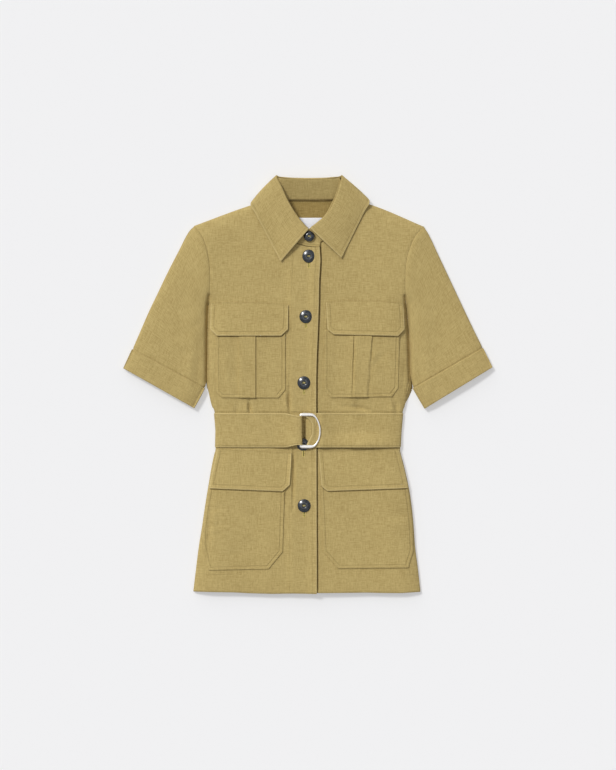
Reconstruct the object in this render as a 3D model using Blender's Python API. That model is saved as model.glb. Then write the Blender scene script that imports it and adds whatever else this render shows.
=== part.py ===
"""Safari jacket laid flat on its back: belted, short sleeved, four flap pockets.

Lengths are in millimetres until a mesh is made. X runs to the viewer's right, Y from the
hem to the collar, Z up from the surface that the jacket rests on.
"""

import math

import bmesh
import bpy
from mathutils import Vector

for old in list(bpy.data.objects):
    bpy.data.objects.remove(old, do_unlink=True)

# Driving dimensions
MM = 0.001
CLOTH = 1.2
SEAM_GAP = 0.6
LAYER_GAP = 0.5
EDGE_Z = 5.2
ROLL_REACH = 38.0
OVERLAP_LIFT = 1.75
OVERLAP_EDGE_X = -22.0
BELT_TOP_Y = -48.3
BELT_BOTTOM_Y = -105.7
BELT_PASS_Z = 1.65
BUTTON_RADIUS = 11.2
COLLAR_BUTTON_RADIUS = 9.0
BUTTON_HEIGHT = 2.6

# Height of the upper layer in the middle of the garment, along its length: y, z
CROWN = (
    (-360, 12.5), (-250, 12.5), (-175, 12.2), (-125, 11.2), (-108, 10.8), (-45, 10.8),
    (-20, 12.0), (40, 14.0), (120, 14.5), (200, 14.0), (260, 13.0), (330, 11.0),
)

# Side edges from hem to pit: x, y
SIDE_RIGHT = (
    (-194.6, -351.0), (-189.9, -312.0), (-185.2, -275.0), (-179.6, -240.0), (-174.9, -208.0),
    (-169.4, -174.0), (-163.2, -138.0), (-159.0, -118.0), (-156.8, -109.0), (-156.0, -77.0),
    (-158.6, -45.0), (-162.8, -36.0), (-167.2, -18.0), (-170.4, 7.0), (-171.0, 52.0),
    (-170.6, 95.0), (-169.8, 137.0),
)
SIDE_LEFT = (
    (190.8, -351.7), (186.4, -312.0), (181.7, -275.0), (179.2, -240.0), (176.0, -208.0),
    (170.9, -174.0), (162.8, -138.0), (157.6, -118.0), (156.2, -109.0), (157.6, -80.0),
    (160.6, -46.0), (163.8, -36.0), (167.6, -18.0), (171.7, 7.0), (171.2, 52.0),
    (168.8, 95.0), (166.9, 134.3),
)
# Front edges level with the side points: x, y
EDGE_OVER = (
    (14.8, -354.6), (14.8, -315.0), (14.7, -278.0), (14.5, -241.0), (14.4, -208.0),
    (14.3, -174.0), (14.2, -138.0), (14.1, -118.0), (14.1, -109.0), (13.9, -77.0),
    (13.7, -45.0), (13.6, -36.0), (13.6, -16.0), (13.7, 10.0), (14.8, 52.0),
    (16.5, 92.0), (17.9, 130.0),
)
EDGE_UNDER = tuple((OVERLAP_EDGE_X, y + 0.8) for x, y in EDGE_OVER)
# Armholes from pit to shoulder point: x, y
ARMHOLE_RIGHT = (
    (-169.8, 137.0), (-167.9, 152.0), (-166.8, 168.0), (-166.7, 185.0), (-167.4, 202.0),
    (-169.4, 217.0), (-173.6, 236.0), (-180.5, 253.0), (-193.0, 270.5),
)
ARMHOLE_LEFT = (
    (166.9, 134.3), (165.3, 150.0), (164.8, 167.0), (164.9, 184.0), (165.6, 201.0),
    (168.4, 218.0), (174.5, 236.5), (182.8, 254.0), (197.0, 269.0),
)
# Front edges above the pit, then the neck seams to the neck points: x, y
EDGE_OVER_TOP = ((17.9, 130.0), (18.8, 179.0), (20.9, 212.0), (19.4, 234.6))
EDGE_UNDER_TOP = ((OVERLAP_EDGE_X, 130.8), (OVERLAP_EDGE_X, 190.0), (-21.0, 233.6))
NECK_RIGHT = (
    (19.4, 234.6), (8.0, 234.3), (-10.0, 236.5), (-28.0, 246.0), (-45.0, 264.0),
    (-58.0, 288.0), (-66.0, 315.0),
)
NECK_LEFT = (
    (-21.0, 233.6), (-8.0, 233.4), (10.0, 235.6), (28.0, 245.0), (46.0, 264.0),
    (59.0, 289.0), (66.0, 317.0),
)
SHOULDER_BOW_RIGHT = 1.5
SHOULDER_BOW_LEFT = 4.4
# Fractions along an armhole at which body and sleeve share points
ARM_STEPS = (0, 0.02, 0.06, 0.13, 0.22, 0.34, 0.5, 0.66, 0.78, 0.87, 0.94, 0.98, 1)
PLACKET_STEPS = 5
# How far a front's armhole edge turns down below its own wall
SEAM_FOOT = 0.3

# Sleeves from armhole to hem: outer x, y, underarm x, y, share of the armhole's curve
SLEEVE_RIGHT = (
    (-193.0, 270.5, -169.8, 137.0, 1.0),
    (-204.5, 257.5, -170.8, 118.0, 0.75),
    (-220.0, 227.5, -172.0, 96.0, 0.5),
    (-238.0, 192.5, -172.4, 73.0, 0.3),
    (-255.0, 157.0, -172.6, 51.0, 0.15),
    (-270.5, 124.5, -172.7, 31.0, 0.05),
    (-285.5, 90.0, -173.0, 12.0, 0.0),
    (-296.0, 65.6, -175.3, -1.5, 0.0),
    (-297.4, 60.2, -178.2, -5.4, 0.0),
    (-304.7, 45.0, -186.6, -21.0, 0.0),
    (-311.6, 30.6, -194.4, -35.6, 0.0),
)
SLEEVE_LEFT = (
    (197.0, 269.0, 166.9, 134.3, 1.0),
    (207.0, 252.5, 169.3, 113.9, 0.75),
    (221.0, 222.5, 171.0, 92.0, 0.5),
    (237.0, 188.5, 172.5, 70.0, 0.3),
    (252.5, 155.5, 173.3, 49.0, 0.15),
    (267.5, 123.5, 173.8, 29.0, 0.05),
    (284.0, 89.0, 176.2, 10.0, 0.0),
    (294.6, 67.5, 179.2, -1.5, 0.0),
    (296.0, 62.0, 180.8, -5.4, 0.0),
    (303.8, 46.8, 190.3, -22.0, 0.0),
    (310.7, 32.5, 199.8, -37.0, 0.0),
)
CUFF_ROWS = 3
# How far the upper sleeve sinks under its cuff
CUFF_SINK = 0.6
CUFF_PASS_Z = 1.65
# The turned-up bands, upper edge then folded edge: outer x, y, underarm x, y
CUFF_RIGHT = (
    (-299.2, 60.7, -175.9, -5.7), (-306.4, 45.3, -184.2, -21.9), (-313.9, 28.7, -193.7, -38.9),
)
CUFF_LEFT = (
    (297.5, 62.9, 178.7, -5.7), (305.3, 47.2, 188.3, -22.6), (313.5, 30.4, 198.5, -39.8),
)
SLEEVE_CROWN = 11.5

# Distances from the side edge and from the front edge at which panel columns lie
SIDE_STEPS = (0, 2, 6, 12, 20, 30)
FRONT_STEPS = (52, 41, 36, 19, 4, 0)
MIDDLE_STEPS = 4

# Collar leaf stations from the right front end round the back: rolled edge x, y, z,
# pull x, y, z, outer edge x, y and height above the front, or above the surface at the back
LEAF = (
    (0.6, 264.0, 23.0, -18.0, 243.0, 21.5, -46.4, 209.8, 2.1),
    (-7.8, 272.3, 23.0, -29.0, 254.0, 22.0, -52.7, 221.8, 2.0),
    (-17.5, 283.6, 23.0, -41.0, 267.0, 22.0, -59.7, 235.2, 1.8),
    (-28.4, 300.4, 23.0, -54.0, 283.0, 21.5, -69.3, 253.4, 2.0),
    (-37.0, 316.7, 22.5, -66.0, 300.0, 21.0, -79.0, 271.9, 2.4),
    (-45.0, 336.0, 22.0, -77.0, 317.0, 19.0, -88.8, 290.5, 3.4),
    (-54.0, 354.4, 20.0, -80.0, 331.0, 14.0, -97.8, 307.5, 6.0),
    (-51.5, 354.2, 19.5, -75.0, 340.5, 2.0, -88.0, 319.0, 1.0),
    (-45.0, 352.6, 19.0, -58.5, 360.0, -1.5, -71.0, 321.6, 0.0),
    (-26.0, 350.6, 19.0, -30.0, 360.5, -1.5, -36.0, 318.4, 0.0),
    (2.0, 349.8, 19.0, 2.0, 360.5, -1.5, 2.0, 317.4, 0.0),
    (28.0, 350.6, 19.0, 32.0, 360.5, -1.5, 38.0, 318.4, 0.0),
    (47.0, 352.6, 19.0, 62.5, 360.0, -1.5, 76.5, 324.6, 0.0),
    (55.7, 354.2, 19.5, 80.0, 342.0, 2.0, 95.0, 323.2, 1.0),
    (58.0, 354.4, 20.0, 84.0, 332.0, 14.0, 104.8, 311.5, 6.0),
    (52.9, 333.0, 22.0, 83.0, 316.0, 19.0, 96.0, 294.8, 3.4),
    (46.4, 313.5, 22.5, 75.0, 298.0, 21.0, 87.5, 277.6, 2.4),
    (37.7, 296.1, 23.0, 63.0, 282.0, 21.5, 78.6, 259.7, 2.2),
    (26.9, 283.6, 23.0, 50.0, 267.0, 22.0, 69.7, 241.8, 2.0),
    (15.0, 273.4, 23.0, 38.0, 256.0, 22.0, 62.9, 228.2, 1.9),
    (4.4, 265.7, 23.4, 25.0, 246.0, 22.5, 56.8, 215.8, 2.1),
)
LEAF_FRONT_STATIONS = 7
LEAF_STEPS = (0, 0.12, 0.28, 0.46, 0.64, 0.82, 1)
LEAF_LIP = 1.8
NECK_CENTRE = (2.0, 300.0)
# Collar stand: top edge x, y, z above equal steps along each neck seam
STAND_RIGHT = (
    (22.6, 246.0, 15.6), (9.0, 260.5, 16.5), (-7.0, 269.5, 17.2), (-17.5, 282.0, 18.6),
    (-25.0, 296.0, 19.8), (-33.0, 311.5, 20.0), (-40.5, 327.0, 19.8), (-48.5, 345.5, 18.6),
)
STAND_LEFT = (
    (-18.0, 250.0, 13.4), (-3.0, 262.5, 14.7), (12.0, 271.5, 15.6), (23.0, 281.5, 17.6),
    (32.0, 293.0, 19.2), (39.0, 306.0, 19.8), (45.5, 321.0, 19.8), (52.5, 345.0, 18.6),
)
# Behind the neck: seam x, y, z, top x, y, z
STAND_BACK = (
    (-50.0, 314.5, 1.6, -41.5, 349.0, 17.4),
    (-25.0, 314.2, 1.6, -23.0, 347.5, 17.2),
    (2.0, 314.2, 1.6, 2.0, 347.0, 17.2),
    (27.0, 314.2, 1.6, 26.0, 347.5, 17.2),
    (50.0, 315.0, 1.6, 43.5, 349.0, 17.4),
)
STAND_STEPS = 4
STAND_INSET = 0.9
# Nearer the middle than this the neck seam runs straight across
NECK_FLAT_X = 21.5

# Chest pockets from under the flap to the bottom: left x, y, pleat folds x, right x, y
CHEST_POCKET_RIGHT = (
    (-155.4, 128.0, -117.3, -89.1, -39.3, 128.0),
    (-155.4, 100.0, -117.3, -89.1, -39.0, 100.0),
    (-155.6, 85.0, -117.3, -89.1, -38.9, 85.0),
    (-155.8, 62.0, -117.3, -89.1, -38.9, 62.0),
    (-156.0, 38.0, -117.3, -89.1, -38.9, 38.0),
    (-156.3, 12.0, -117.3, -89.1, -38.9, 12.0),
    (-156.4, -11.5, -117.3, -89.1, -38.9, -8.0),
    (-146.5, -21.4, -117.0, -89.1, -50.3, -21.8),
)
CHEST_POCKET_LEFT = (
    (28.1, 128.0, 77.5, 109.1, 155.3, 128.0),
    (28.1, 100.0, 77.5, 109.1, 155.3, 100.0),
    (28.1, 85.0, 77.4, 109.0, 155.3, 85.0),
    (28.1, 62.0, 76.8, 107.4, 154.8, 62.0),
    (28.1, 38.0, 76.2, 105.8, 154.2, 38.0),
    (28.1, 12.0, 75.3, 103.6, 153.2, 12.0),
    (28.1, -7.8, 74.8, 102.0, 152.7, -5.6),
    (39.3, -21.4, 74.5, 101.3, 142.5, -19.6),
)
PLEAT_RISE = 1.3
PLEAT_EDGE = 1.0
# Chest flaps from the sewn edge to the free edge: left x, y, right x, y, bow, lift
CHEST_FLAP_RIGHT = (
    (-164.9, 138.9, -33.7, 136.0, 2.6, 0.5),
    (-165.2, 127.0, -33.9, 125.0, 1.6, 1.9),
    (-165.7, 110.0, -34.0, 109.0, 0.0, 2.2),
    (-166.1, 95.0, -34.2, 94.8, 0.0, 2.9),
    (-154.7, 83.8, -45.6, 83.9, 0.0, 3.2),
)
CHEST_FLAP_LEFT = (
    (30.9, 140.1, 162.2, 138.2, 4.2, 0.5),
    (31.6, 128.0, 162.9, 127.0, 2.0, 1.9),
    (32.6, 110.0, 163.6, 110.0, 0.0, 2.2),
    (33.3, 94.9, 164.1, 95.2, 0.0, 2.9),
    (43.5, 86.2, 153.2, 83.4, 0.0, 3.2),
)
# Hip pockets from under the flap to the bottom: left x, y, right x, y
HIP_POCKET_RIGHT = (
    (-160.2, -140.0, -39.2, -141.0),
    (-166.8, -172.0, -39.8, -173.0),
    (-173.4, -210.0, -41.2, -212.0),
    (-177.8, -243.0, -42.4, -250.0),
    (-178.8, -270.5, -43.4, -283.6),
    (-171.2, -305.0, -60.6, -304.2),
    (-168.6, -314.3, -67.2, -312.2),
)
HIP_POCKET_LEFT = (
    (20.6, -141.0, 161.8, -140.0),
    (22.0, -173.0, 169.2, -172.0),
    (23.7, -212.0, 174.9, -210.0),
    (25.3, -250.0, 178.0, -243.0),
    (26.7, -283.6, 178.9, -281.4),
    (45.2, -304.6, 172.0, -303.4),
    (51.5, -311.7, 170.9, -310.4),
)
# Hip flaps from the sewn edge to the free edge: left x, y, right x, y, bow, lift
HIP_FLAP_RIGHT = (
    (-154.6, -109.4, -28.1, -115.8, 0.0, 0.5),
    (-156.3, -121.0, -28.5, -126.0, 0.0, 1.2),
    (-160.6, -139.0, -29.5, -142.0, 0.0, 1.9),
    (-166.6, -167.5, -31.3, -169.7, 0.0, 2.0),
    (-167.4, -175.4, -43.4, -180.5, 0.0, 2.2),
)
HIP_FLAP_LEFT = (
    (18.0, -112.6, 154.8, -109.6, 0.0, 0.5),
    (19.2, -124.0, 157.8, -122.0, 0.0, 1.2),
    (20.9, -143.0, 162.3, -140.0, 0.0, 1.9),
    (23.5, -171.9, 168.6, -168.0, 0.0, 2.0),
    (33.2, -179.9, 169.4, -175.0, 0.0, 2.2),
)

# Ring outline, from the hidden bar clockwise: x, y, half width seen from above
RING = (
    (-12.9, -77.3, 1.5), (-12.9, -60.0, 1.5), (-12.9, -53.6, 1.8), (-11.6, -50.8, 2.3),
    (-9.0, -50.2, 2.5), (-2.0, -50.1, 2.5), (5.5, -50.4, 2.4), (9.5, -51.6, 1.9),
    (13.6, -55.6, 1.5), (17.2, -62.4, 1.45), (19.6, -70.6, 1.4), (20.2, -77.4, 1.4),
    (19.8, -84.6, 1.4), (17.8, -92.6, 1.45), (14.2, -99.4, 1.5), (10.4, -103.2, 1.9),
    (6.0, -104.4, 2.4), (-2.0, -104.6, 2.5), (-9.6, -104.4, 2.5), (-12.0, -103.6, 2.2),
    (-12.9, -100.8, 1.7), (-12.9, -94.0, 1.5),
)
RING_RISE = 6.4
RING_HALF_HEIGHT = 1.4
# Belt's raised runs near the ring: x and lift of its inner face over the front
BELT_RETURN = ((-47.0, 1.75), (-34.0, 2.2), (-24.0, 3.9), (-16.0, 4.5))
BELT_FOLD = ((-11.7, 4.6), (-10.8, 5.4), (-10.6, 6.4), (-10.8, 7.4), (-11.7, 8.2))
BELT_LEFT_RUN = ((-18.0, 8.3), (-26.0, 6.6), (-36.0, 4.4), (-48.0, 2.4), (-62.0, 1.0))
BELT_RIGHT_RUN = ((62.0, 0.6), (46.0, 1.4), (32.0, 2.6), (22.0, 3.4), (14.0, 3.5))
# Free end of the belt inside the ring: y, x
BELT_END = (
    (-106.5, -4.0), (-100.0, -1.5), (-93.5, 1.7), (-83.0, 7.5), (-66.0, 7.5), (-58.0, 2.0),
    (-53.5, -5.0), (-47.0, -8.0),
)
# How much each half of the belt's width draws in at the ring
BELT_NARROWING = 4.4
# Buttons from the throat down: x, y, rise over the front
BUTTONS = (
    (2.0, 252.5, 2.4), (1.5, 218.6, 0.75), (-3.4, 116.0, 0.6), (-6.8, 3.7, 0.8),
    (-7.7, -102.0, 0.35), (-6.5, -205.0, 0.6),
)
# Label over the back: left x, lower y, right x, upper y, thickness
LABEL = (-29.0, 258.0, 33.0, 284.5, 0.8)
LABEL_LIFT = 0.3


def between(table, at):
    """Linear value at one place in a table of (place, value) pairs, held at its ends."""
    rows = sorted(table)
    if at <= rows[0][0]:
        return rows[0][1]
    for (a, low), (b, high) in zip(rows, rows[1:]):
        if at <= b:
            return low + (high - low) * (at - a) / (b - a)
    return rows[-1][1]


def smooth(value):
    value = min(max(value, 0.0), 1.0)
    return value * value * (3 - 2 * value)


def mix(a, b, share):
    return tuple(p + (q - p) * share for p, q in zip(a, b))


def along(line, share):
    """The point at a share of a polyline's length."""
    steps = [math.dist(a, b) for a, b in zip(line, line[1:])]
    left = share * sum(steps)
    for a, b, step in zip(line, line[1:], steps):
        if left <= step:
            return mix(a, b, left / step)
        left -= step
    return line[-1]


def shoulder(neck, arm, bow, count):
    """Points of a shoulder line from its shoulder point to its neck point."""
    points = []
    for i in range(count + 1):
        share = i / count
        x, y = mix(arm, neck, share)
        points.append((x, y + bow * math.sin(math.pi * share ** 1.3)))
    return points


SHOULDER_RIGHT = shoulder(NECK_RIGHT[-1], ARMHOLE_RIGHT[-1], SHOULDER_BOW_RIGHT, 14)
SHOULDER_LEFT = shoulder(NECK_LEFT[-1], ARMHOLE_LEFT[-1], SHOULDER_BOW_LEFT, 14)
FOLDED_EDGES = (
    SIDE_RIGHT,
    SIDE_LEFT,
    SHOULDER_RIGHT,
    SHOULDER_LEFT,
    [row[:2] for row in SLEEVE_RIGHT],
    [row[2:4] for row in SLEEVE_RIGHT],
    [row[:2] for row in SLEEVE_LEFT],
    [row[2:4] for row in SLEEVE_LEFT],
)


def edge_distance(x, y):
    """Distance to the nearest folded edge, where upper and lower layer meet."""
    nearest = 1e9
    for line in FOLDED_EDGES:
        for (ax, ay), (bx, by) in zip(line, line[1:]):
            dx, dy = bx - ax, by - ay
            share = ((x - ax) * dx + (y - ay) * dy) / (dx * dx + dy * dy)
            share = min(max(share, 0.0), 1.0)
            nearest = min(nearest, math.hypot(x - ax - share * dx, y - ay - share * dy))
    return nearest


def height(x, y):
    """Top of the upper cloth layer over the surface that the jacket lies on."""
    rise = 1 - min(edge_distance(x, y) / ROLL_REACH, 1)
    body = between(CROWN, y)
    crown = body + (SLEEVE_CROWN - body) * smooth((abs(x) - 172) / 50)
    return EDGE_Z + (crown - EDGE_Z) * math.sqrt(max(1 - rise * rise, 0))


def over(x, y):
    """Top of the right front, which rides over the left front's edge."""
    start = -38 - 14 * smooth((y - 190) / 30)
    return height(x, y) + OVERLAP_LIFT * smooth((x - start) / 12)


def floor_lift(y):
    """The back is carried by the belt that passes under it."""
    return BELT_PASS_Z * smooth((y + 117) / 8) * smooth((-37 - y) / 8)


def material(name, colour, roughness, metallic=0.0):
    made = bpy.data.materials.new(name)
    made.use_nodes = True
    shader = made.node_tree.nodes["Principled BSDF"]
    shader.inputs["Base Color"].default_value = (*colour, 1.0)
    shader.inputs["Roughness"].default_value = roughness
    shader.inputs["Metallic"].default_value = metallic
    made.diffuse_color = (*colour, 1.0)
    return made


KHAKI = (0.445, 0.345, 0.138)
KHAKI_SHADE = (0.40, 0.305, 0.118)
TAPE_WHITE = (0.86, 0.86, 0.88)
HORN = (0.035, 0.042, 0.048)
PALE_METAL = (0.86, 0.82, 0.74)


def new_object(name, points, faces, made):
    mesh = bpy.data.meshes.new(name)
    mesh.from_pydata([(x * MM, y * MM, z * MM) for x, y, z in points], [], faces)
    shape = bmesh.new()
    shape.from_mesh(mesh)
    bmesh.ops.recalc_face_normals(shape, faces=shape.faces)
    if shape.calc_volume(signed=True) < 0:
        bmesh.ops.reverse_faces(shape, faces=shape.faces)
    shape.to_mesh(mesh)
    shape.free()
    mesh.materials.append(made)
    for face in mesh.polygons:
        face.use_smooth = True
    body = bpy.data.objects.new(name, mesh)
    bpy.context.collection.objects.link(body)
    return body


def normals(grid, ring):
    """Outward direction at each grid point, lengthened at corners to keep the wall."""
    rows, columns = len(grid), len(grid[0])
    points = [[Vector(p) for p in row] for row in grid]
    spans = columns if ring else columns - 1
    faces = {}
    for r in range(rows - 1):
        for c in range(spans):
            d = (c + 1) % columns
            one = points[r + 1][d] - points[r][c]
            two = points[r + 1][c] - points[r][d]
            faces[r, c] = one.cross(two).normalized()
    result = []
    for r in range(rows):
        line = []
        for c in range(columns):
            near = []
            for a in (r - 1, r):
                for b in (c - 1, c):
                    key = (a, b % columns) if ring else (a, b)
                    if key in faces:
                        near.append(faces[key])
            near = [n for n in near if n.length > 0.5]
            total = sum(near, Vector()).normalized()
            spread = sum(total.dot(n) for n in near) / max(len(near), 1)
            line.append(total / max(spread, 0.6))
        if not line[0].length:
            line[0] = line[1]
        result.append(line)
    return result


def layered(name, first, second, made, ring=False):
    """A closed body between two grids of points, open at its sides or a ring."""
    rows, columns = len(first), len(first[0])
    points = [p for row in first for p in row] + [p for row in second for p in row]
    half = rows * columns
    spans = columns if ring else columns - 1
    faces = []
    for r in range(rows - 1):
        for c in range(spans):
            d = (c + 1) % columns
            a, b = r * columns + c, r * columns + d
            e, f = (r + 1) * columns + d, (r + 1) * columns + c
            faces.append((a, b, e, f))
            faces.append((half + f, half + e, half + b, half + a))
    for c in range(spans):
        d = (c + 1) % columns
        last = (rows - 1) * columns
        faces.append((d, c, half + c, half + d))
        faces.append((last + c, last + d, half + last + d, half + last + c))
    if not ring:
        for r in range(rows - 1):
            a, b = r * columns, (r + 1) * columns
            faces.append((a, b, half + b, half + a))
            a, b = a + columns - 1, b + columns - 1
            faces.append((b, a, half + a, half + b))
    return new_object(name, points, faces, made)


def shell(name, grid, made, thick=CLOTH, ring=False, side=-1):
    """A wall of even thickness on one side of a grid of points."""
    out = normals(grid, ring)
    inner = [
        [tuple(Vector(p) + side * thick * n) for p, n in zip(row, line)]
        for row, line in zip(grid, out)
    ]
    return layered(name, grid, inner, made, ring)


def laid(name, rows, surface, lift, made, thick=CLOTH):
    """Flat cloth on a surface: rows of (x, y, extra rise) points."""
    low = []
    high = []
    for r, row in enumerate(rows):
        low.append([(x, y, surface(x, y) + lift(r) + up) for x, y, up in row])
        high.append([(x, y, z + thick) for x, y, z in low[-1]])
    return layered(name, high, low, made)


def row_points(left, right, bow, steps):
    return [
        (x, y + bow * 4 * s * (1 - s), 0.0)
        for s in steps
        for x, y in [mix(left, right, s)]
    ]


FLAT_STEPS = (0, 0.03, 0.07, 0.13, 0.22, 0.34, 0.46, 0.58, 0.7, 0.8, 0.88, 0.95, 1)


def panel_columns(side, front):
    """Points across a front, close together at the folded side and at the overlap."""
    width = math.dist(side, front)
    marks = list(SIDE_STEPS)
    start, end = SIDE_STEPS[-1], width - FRONT_STEPS[0]
    marks += [start + (end - start) * i / MIDDLE_STEPS for i in range(1, MIDDLE_STEPS)]
    marks += [width - step for step in FRONT_STEPS]
    return [mix(side, front, mark / width) for mark in marks]


def front_panel(name, sides, edges, armhole, edge_top, neck, bow, surface, sign):
    """One front: side seam folded down to the surface, hem to shoulder."""
    rows = [(a, b, 0.0, True) for a, b in zip(sides, edges)]
    steps = len(ARM_STEPS) - 1
    for i in range(1, steps + 1):
        x, y = along(armhole, ARM_STEPS[i])
        if i <= PLACKET_STEPS:
            inner = along(edge_top, i / PLACKET_STEPS)
        else:
            inner = along(neck, (i - PLACKET_STEPS) / (steps - PLACKET_STEPS))
        share = smooth((i - 6) / (steps - 6))
        rows.append(((x - sign * SEAM_GAP / 2, y), inner, bow * share, False))
    grid = []
    for side, edge, bulge, folded in rows:
        points = panel_columns(side, edge)
        line = []
        for x, y in points:
            share = math.dist((x, y), side) / math.dist(side, edge)
            y += bulge * math.sin(math.pi * share ** 1.3)
            line.append((x, y, surface(x, y)))
        x, y, z = line[0]
        foot = floor_lift(y) if folded else z - CLOTH - SEAM_FOOT
        grid.append([(x, y, foot)] + line)
    grid.append([(x, y, 0.0) for x, y, z in grid[-1]])
    return shell(name, grid, KHAKI_CLOTH, side=sign)


KHAKI_CLOTH = material("khaki_cloth", KHAKI, 0.85)
KHAKI_CLOTH_IN = material("khaki_cloth_inside", KHAKI_SHADE, 0.88)
WOVEN_TAPE = material("woven_tape", TAPE_WHITE, 0.7)
BUTTON_HORN = material("button_horn", HORN, 0.35)
RING_METAL = material("ring_metal", PALE_METAL, 0.2, 1.0)

# Fronts
front_panel(
    "front_right", SIDE_RIGHT, EDGE_OVER, ARMHOLE_RIGHT, EDGE_OVER_TOP, NECK_RIGHT,
    SHOULDER_BOW_RIGHT, over, -1,
)
front_panel(
    "front_left", SIDE_LEFT, EDGE_UNDER, ARMHOLE_LEFT, EDGE_UNDER_TOP, NECK_LEFT,
    SHOULDER_BOW_LEFT, height, 1,
)

# Back, flat on the surface and clear of the fronts' folded edges
BACK_INSET = CLOTH + SEAM_GAP
BACK_STEPS = (0, 0.08, 0.2, 0.35, 0.5, 0.65, 0.8, 0.92, 1)
BACK_NECK_Y = 313.4


def back_rows():
    rows = []
    for (ax, ay), (bx, by) in zip(SIDE_RIGHT, SIDE_LEFT):
        rows.append(((ax + BACK_INSET, ay), (bx - BACK_INSET, by)))
    for share in ARM_STEPS[1:-1]:
        ax, ay = along(ARMHOLE_RIGHT, share)
        bx, by = along(ARMHOLE_LEFT, share)
        inset = SEAM_GAP / 2 + (BACK_INSET - SEAM_GAP / 2) * smooth((0.12 - share) / 0.12)
        rows.append(((ax + inset, ay), (bx - inset, by)))
    right, left = SHOULDER_RIGHT, SHOULDER_LEFT
    for i in (1, 3, 5, 7, 9, 11, 13):
        ax, ay = right[i]
        bx, by = left[i]
        down = BACK_INSET + SEAM_GAP
        rows.append(((ax + BACK_INSET, ay - down), (bx - BACK_INSET, by - down)))
    rows.append(((-62.0, BACK_NECK_Y - 1.2), (61.0, BACK_NECK_Y)))
    return rows


back_low = []
back_high = []
for left_end, right_end in back_rows():
    line = [mix(left_end, right_end, s) for s in BACK_STEPS]
    back_low.append([(x, y, floor_lift(y)) for x, y in line])
    back_high.append([(x, y, floor_lift(y) + CLOTH) for x, y in line])
layered("back", back_high, back_low, KHAKI_CLOTH_IN)

# Sleeves, flattened tubes that start on the armholes
UNDER_STEPS = (0.97, 0.85, 0.65, 0.5, 0.35, 0.15, 0.03)


def tube_row(top, under, foot):
    """One section of a flattened tube: over the top, then back along the surface."""
    ring = [(x, y, z) for x, y, z in top]
    ring.append((top[-1][0], top[-1][1], foot))
    ring += [(x, y, foot) for x, y in under]
    ring.append((top[0][0], top[0][1], foot))
    return ring


def sleeve(name, rows, armhole, sign):
    chord = [armhole[-1], armhole[0]]
    arcs = [along(armhole, 1 - s) for s in ARM_STEPS]
    flats = [mix(*chord, s) for s in ARM_STEPS]
    curve = [(p[0] - q[0], p[1] - q[1]) for p, q in zip(arcs, flats)]
    last = len(rows) - 1
    grid = []
    for r, (ox, oy, ix, iy, share) in enumerate(rows):
        shift = sign * SEAM_GAP / 2 if r == 0 else 0.0
        in_cuff = smooth(r - last + CUFF_ROWS)
        top = []
        for s, (dx, dy) in zip(ARM_STEPS, curve):
            x, y = mix((ox, oy), (ix, iy), s)
            x, y = x + dx * share + shift, y + dy * share
            top.append((x, y, height(x, y) - CUFF_SINK * in_cuff))
        lower = []
        for s in UNDER_STEPS:
            x, y = mix((ox, oy), (ix, iy), s)
            dx, dy = (between([(t, c[k]) for t, c in zip(ARM_STEPS, curve)], s) for k in (0, 1))
            lower.append((x + dx * share + shift, y + dy * share))
        grid.append(tube_row(top, lower, CUFF_PASS_Z * in_cuff))
    return shell(name, grid, KHAKI_CLOTH, ring=True, side=-sign)


def cuff(name, rows, sign):
    grid = []
    for ox, oy, ix, iy in rows:
        top = []
        for s in ARM_STEPS:
            x, y = mix((ox, oy), (ix, iy), s)
            top.append((x, y, height(x, y) + LAYER_GAP + CLOTH))
        lower = [mix((ox, oy), (ix, iy), s) for s in UNDER_STEPS]
        grid.append(tube_row(top, lower, 0.0))
    return shell(name, grid, KHAKI_CLOTH, ring=True, side=-sign)


sleeve("sleeve_right", SLEEVE_RIGHT, ARMHOLE_RIGHT, -1)
sleeve("sleeve_left", SLEEVE_LEFT, ARMHOLE_LEFT, 1)
cuff("cuff_right", CUFF_RIGHT, -1)
cuff("cuff_left", CUFF_LEFT, 1)

# Collar leaf, rolled over the stand and turned under behind the neck
leaf_rows = []
for i, (rx, ry, rz, px, py, pz, ex, ey, lift) in enumerate(LEAF):
    ez = lift
    if i < LEAF_FRONT_STATIONS:
        ez += over(ex, ey)
    elif i >= len(LEAF) - LEAF_FRONT_STATIONS:
        ez += height(ex, ey)
    away = Vector((rx - NECK_CENTRE[0], ry - NECK_CENTRE[1], 0)).normalized()
    row = [(rx - away.x * LEAF_LIP, ry - away.y * LEAF_LIP, rz - LEAF_LIP)]
    for s in LEAF_STEPS:
        a, b, c = (1 - s) ** 2, 2 * s * (1 - s), s * s
        point = (a * rx + b * px + c * ex, a * ry + b * py + c * ey, a * rz + b * pz + c * ez)
        row.append((point[0], point[1], max(point[2], 0.0)))
    leaf_rows.append(row)
shell("collar", leaf_rows, KHAKI_CLOTH, side=1)


def stand_seam(neck, tops, surface):
    """Stations of the stand above a neck seam, set just inside it."""
    stations = []
    for i, top in enumerate(tops):
        x, y = along(neck, i / (len(tops) - 1))
        away = Vector((x - NECK_CENTRE[0], y - NECK_CENTRE[1]))
        if abs(x) < NECK_FLAT_X:
            away = Vector((0, -1))
        away = away.normalized() * STAND_INSET
        stations.append(((x - away.x, y - away.y, surface(x, y)), top))
    return stations


stations = stand_seam(NECK_RIGHT, STAND_RIGHT, over)
stations += [(row[:3], row[3:]) for row in STAND_BACK]
stations += reversed(stand_seam(NECK_LEFT, STAND_LEFT, height))
stand_rows = []
for base, top in stations:
    row = []
    for i in range(STAND_STEPS + 1):
        share = i / STAND_STEPS
        x, y, _ = mix(base, top, share)
        row.append((x, y, base[2] + (top[2] - base[2]) * smooth(share) ** 0.9))
    stand_rows.append(row)
shell("collar_stand", stand_rows, KHAKI_CLOTH_IN, side=-1)

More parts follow.
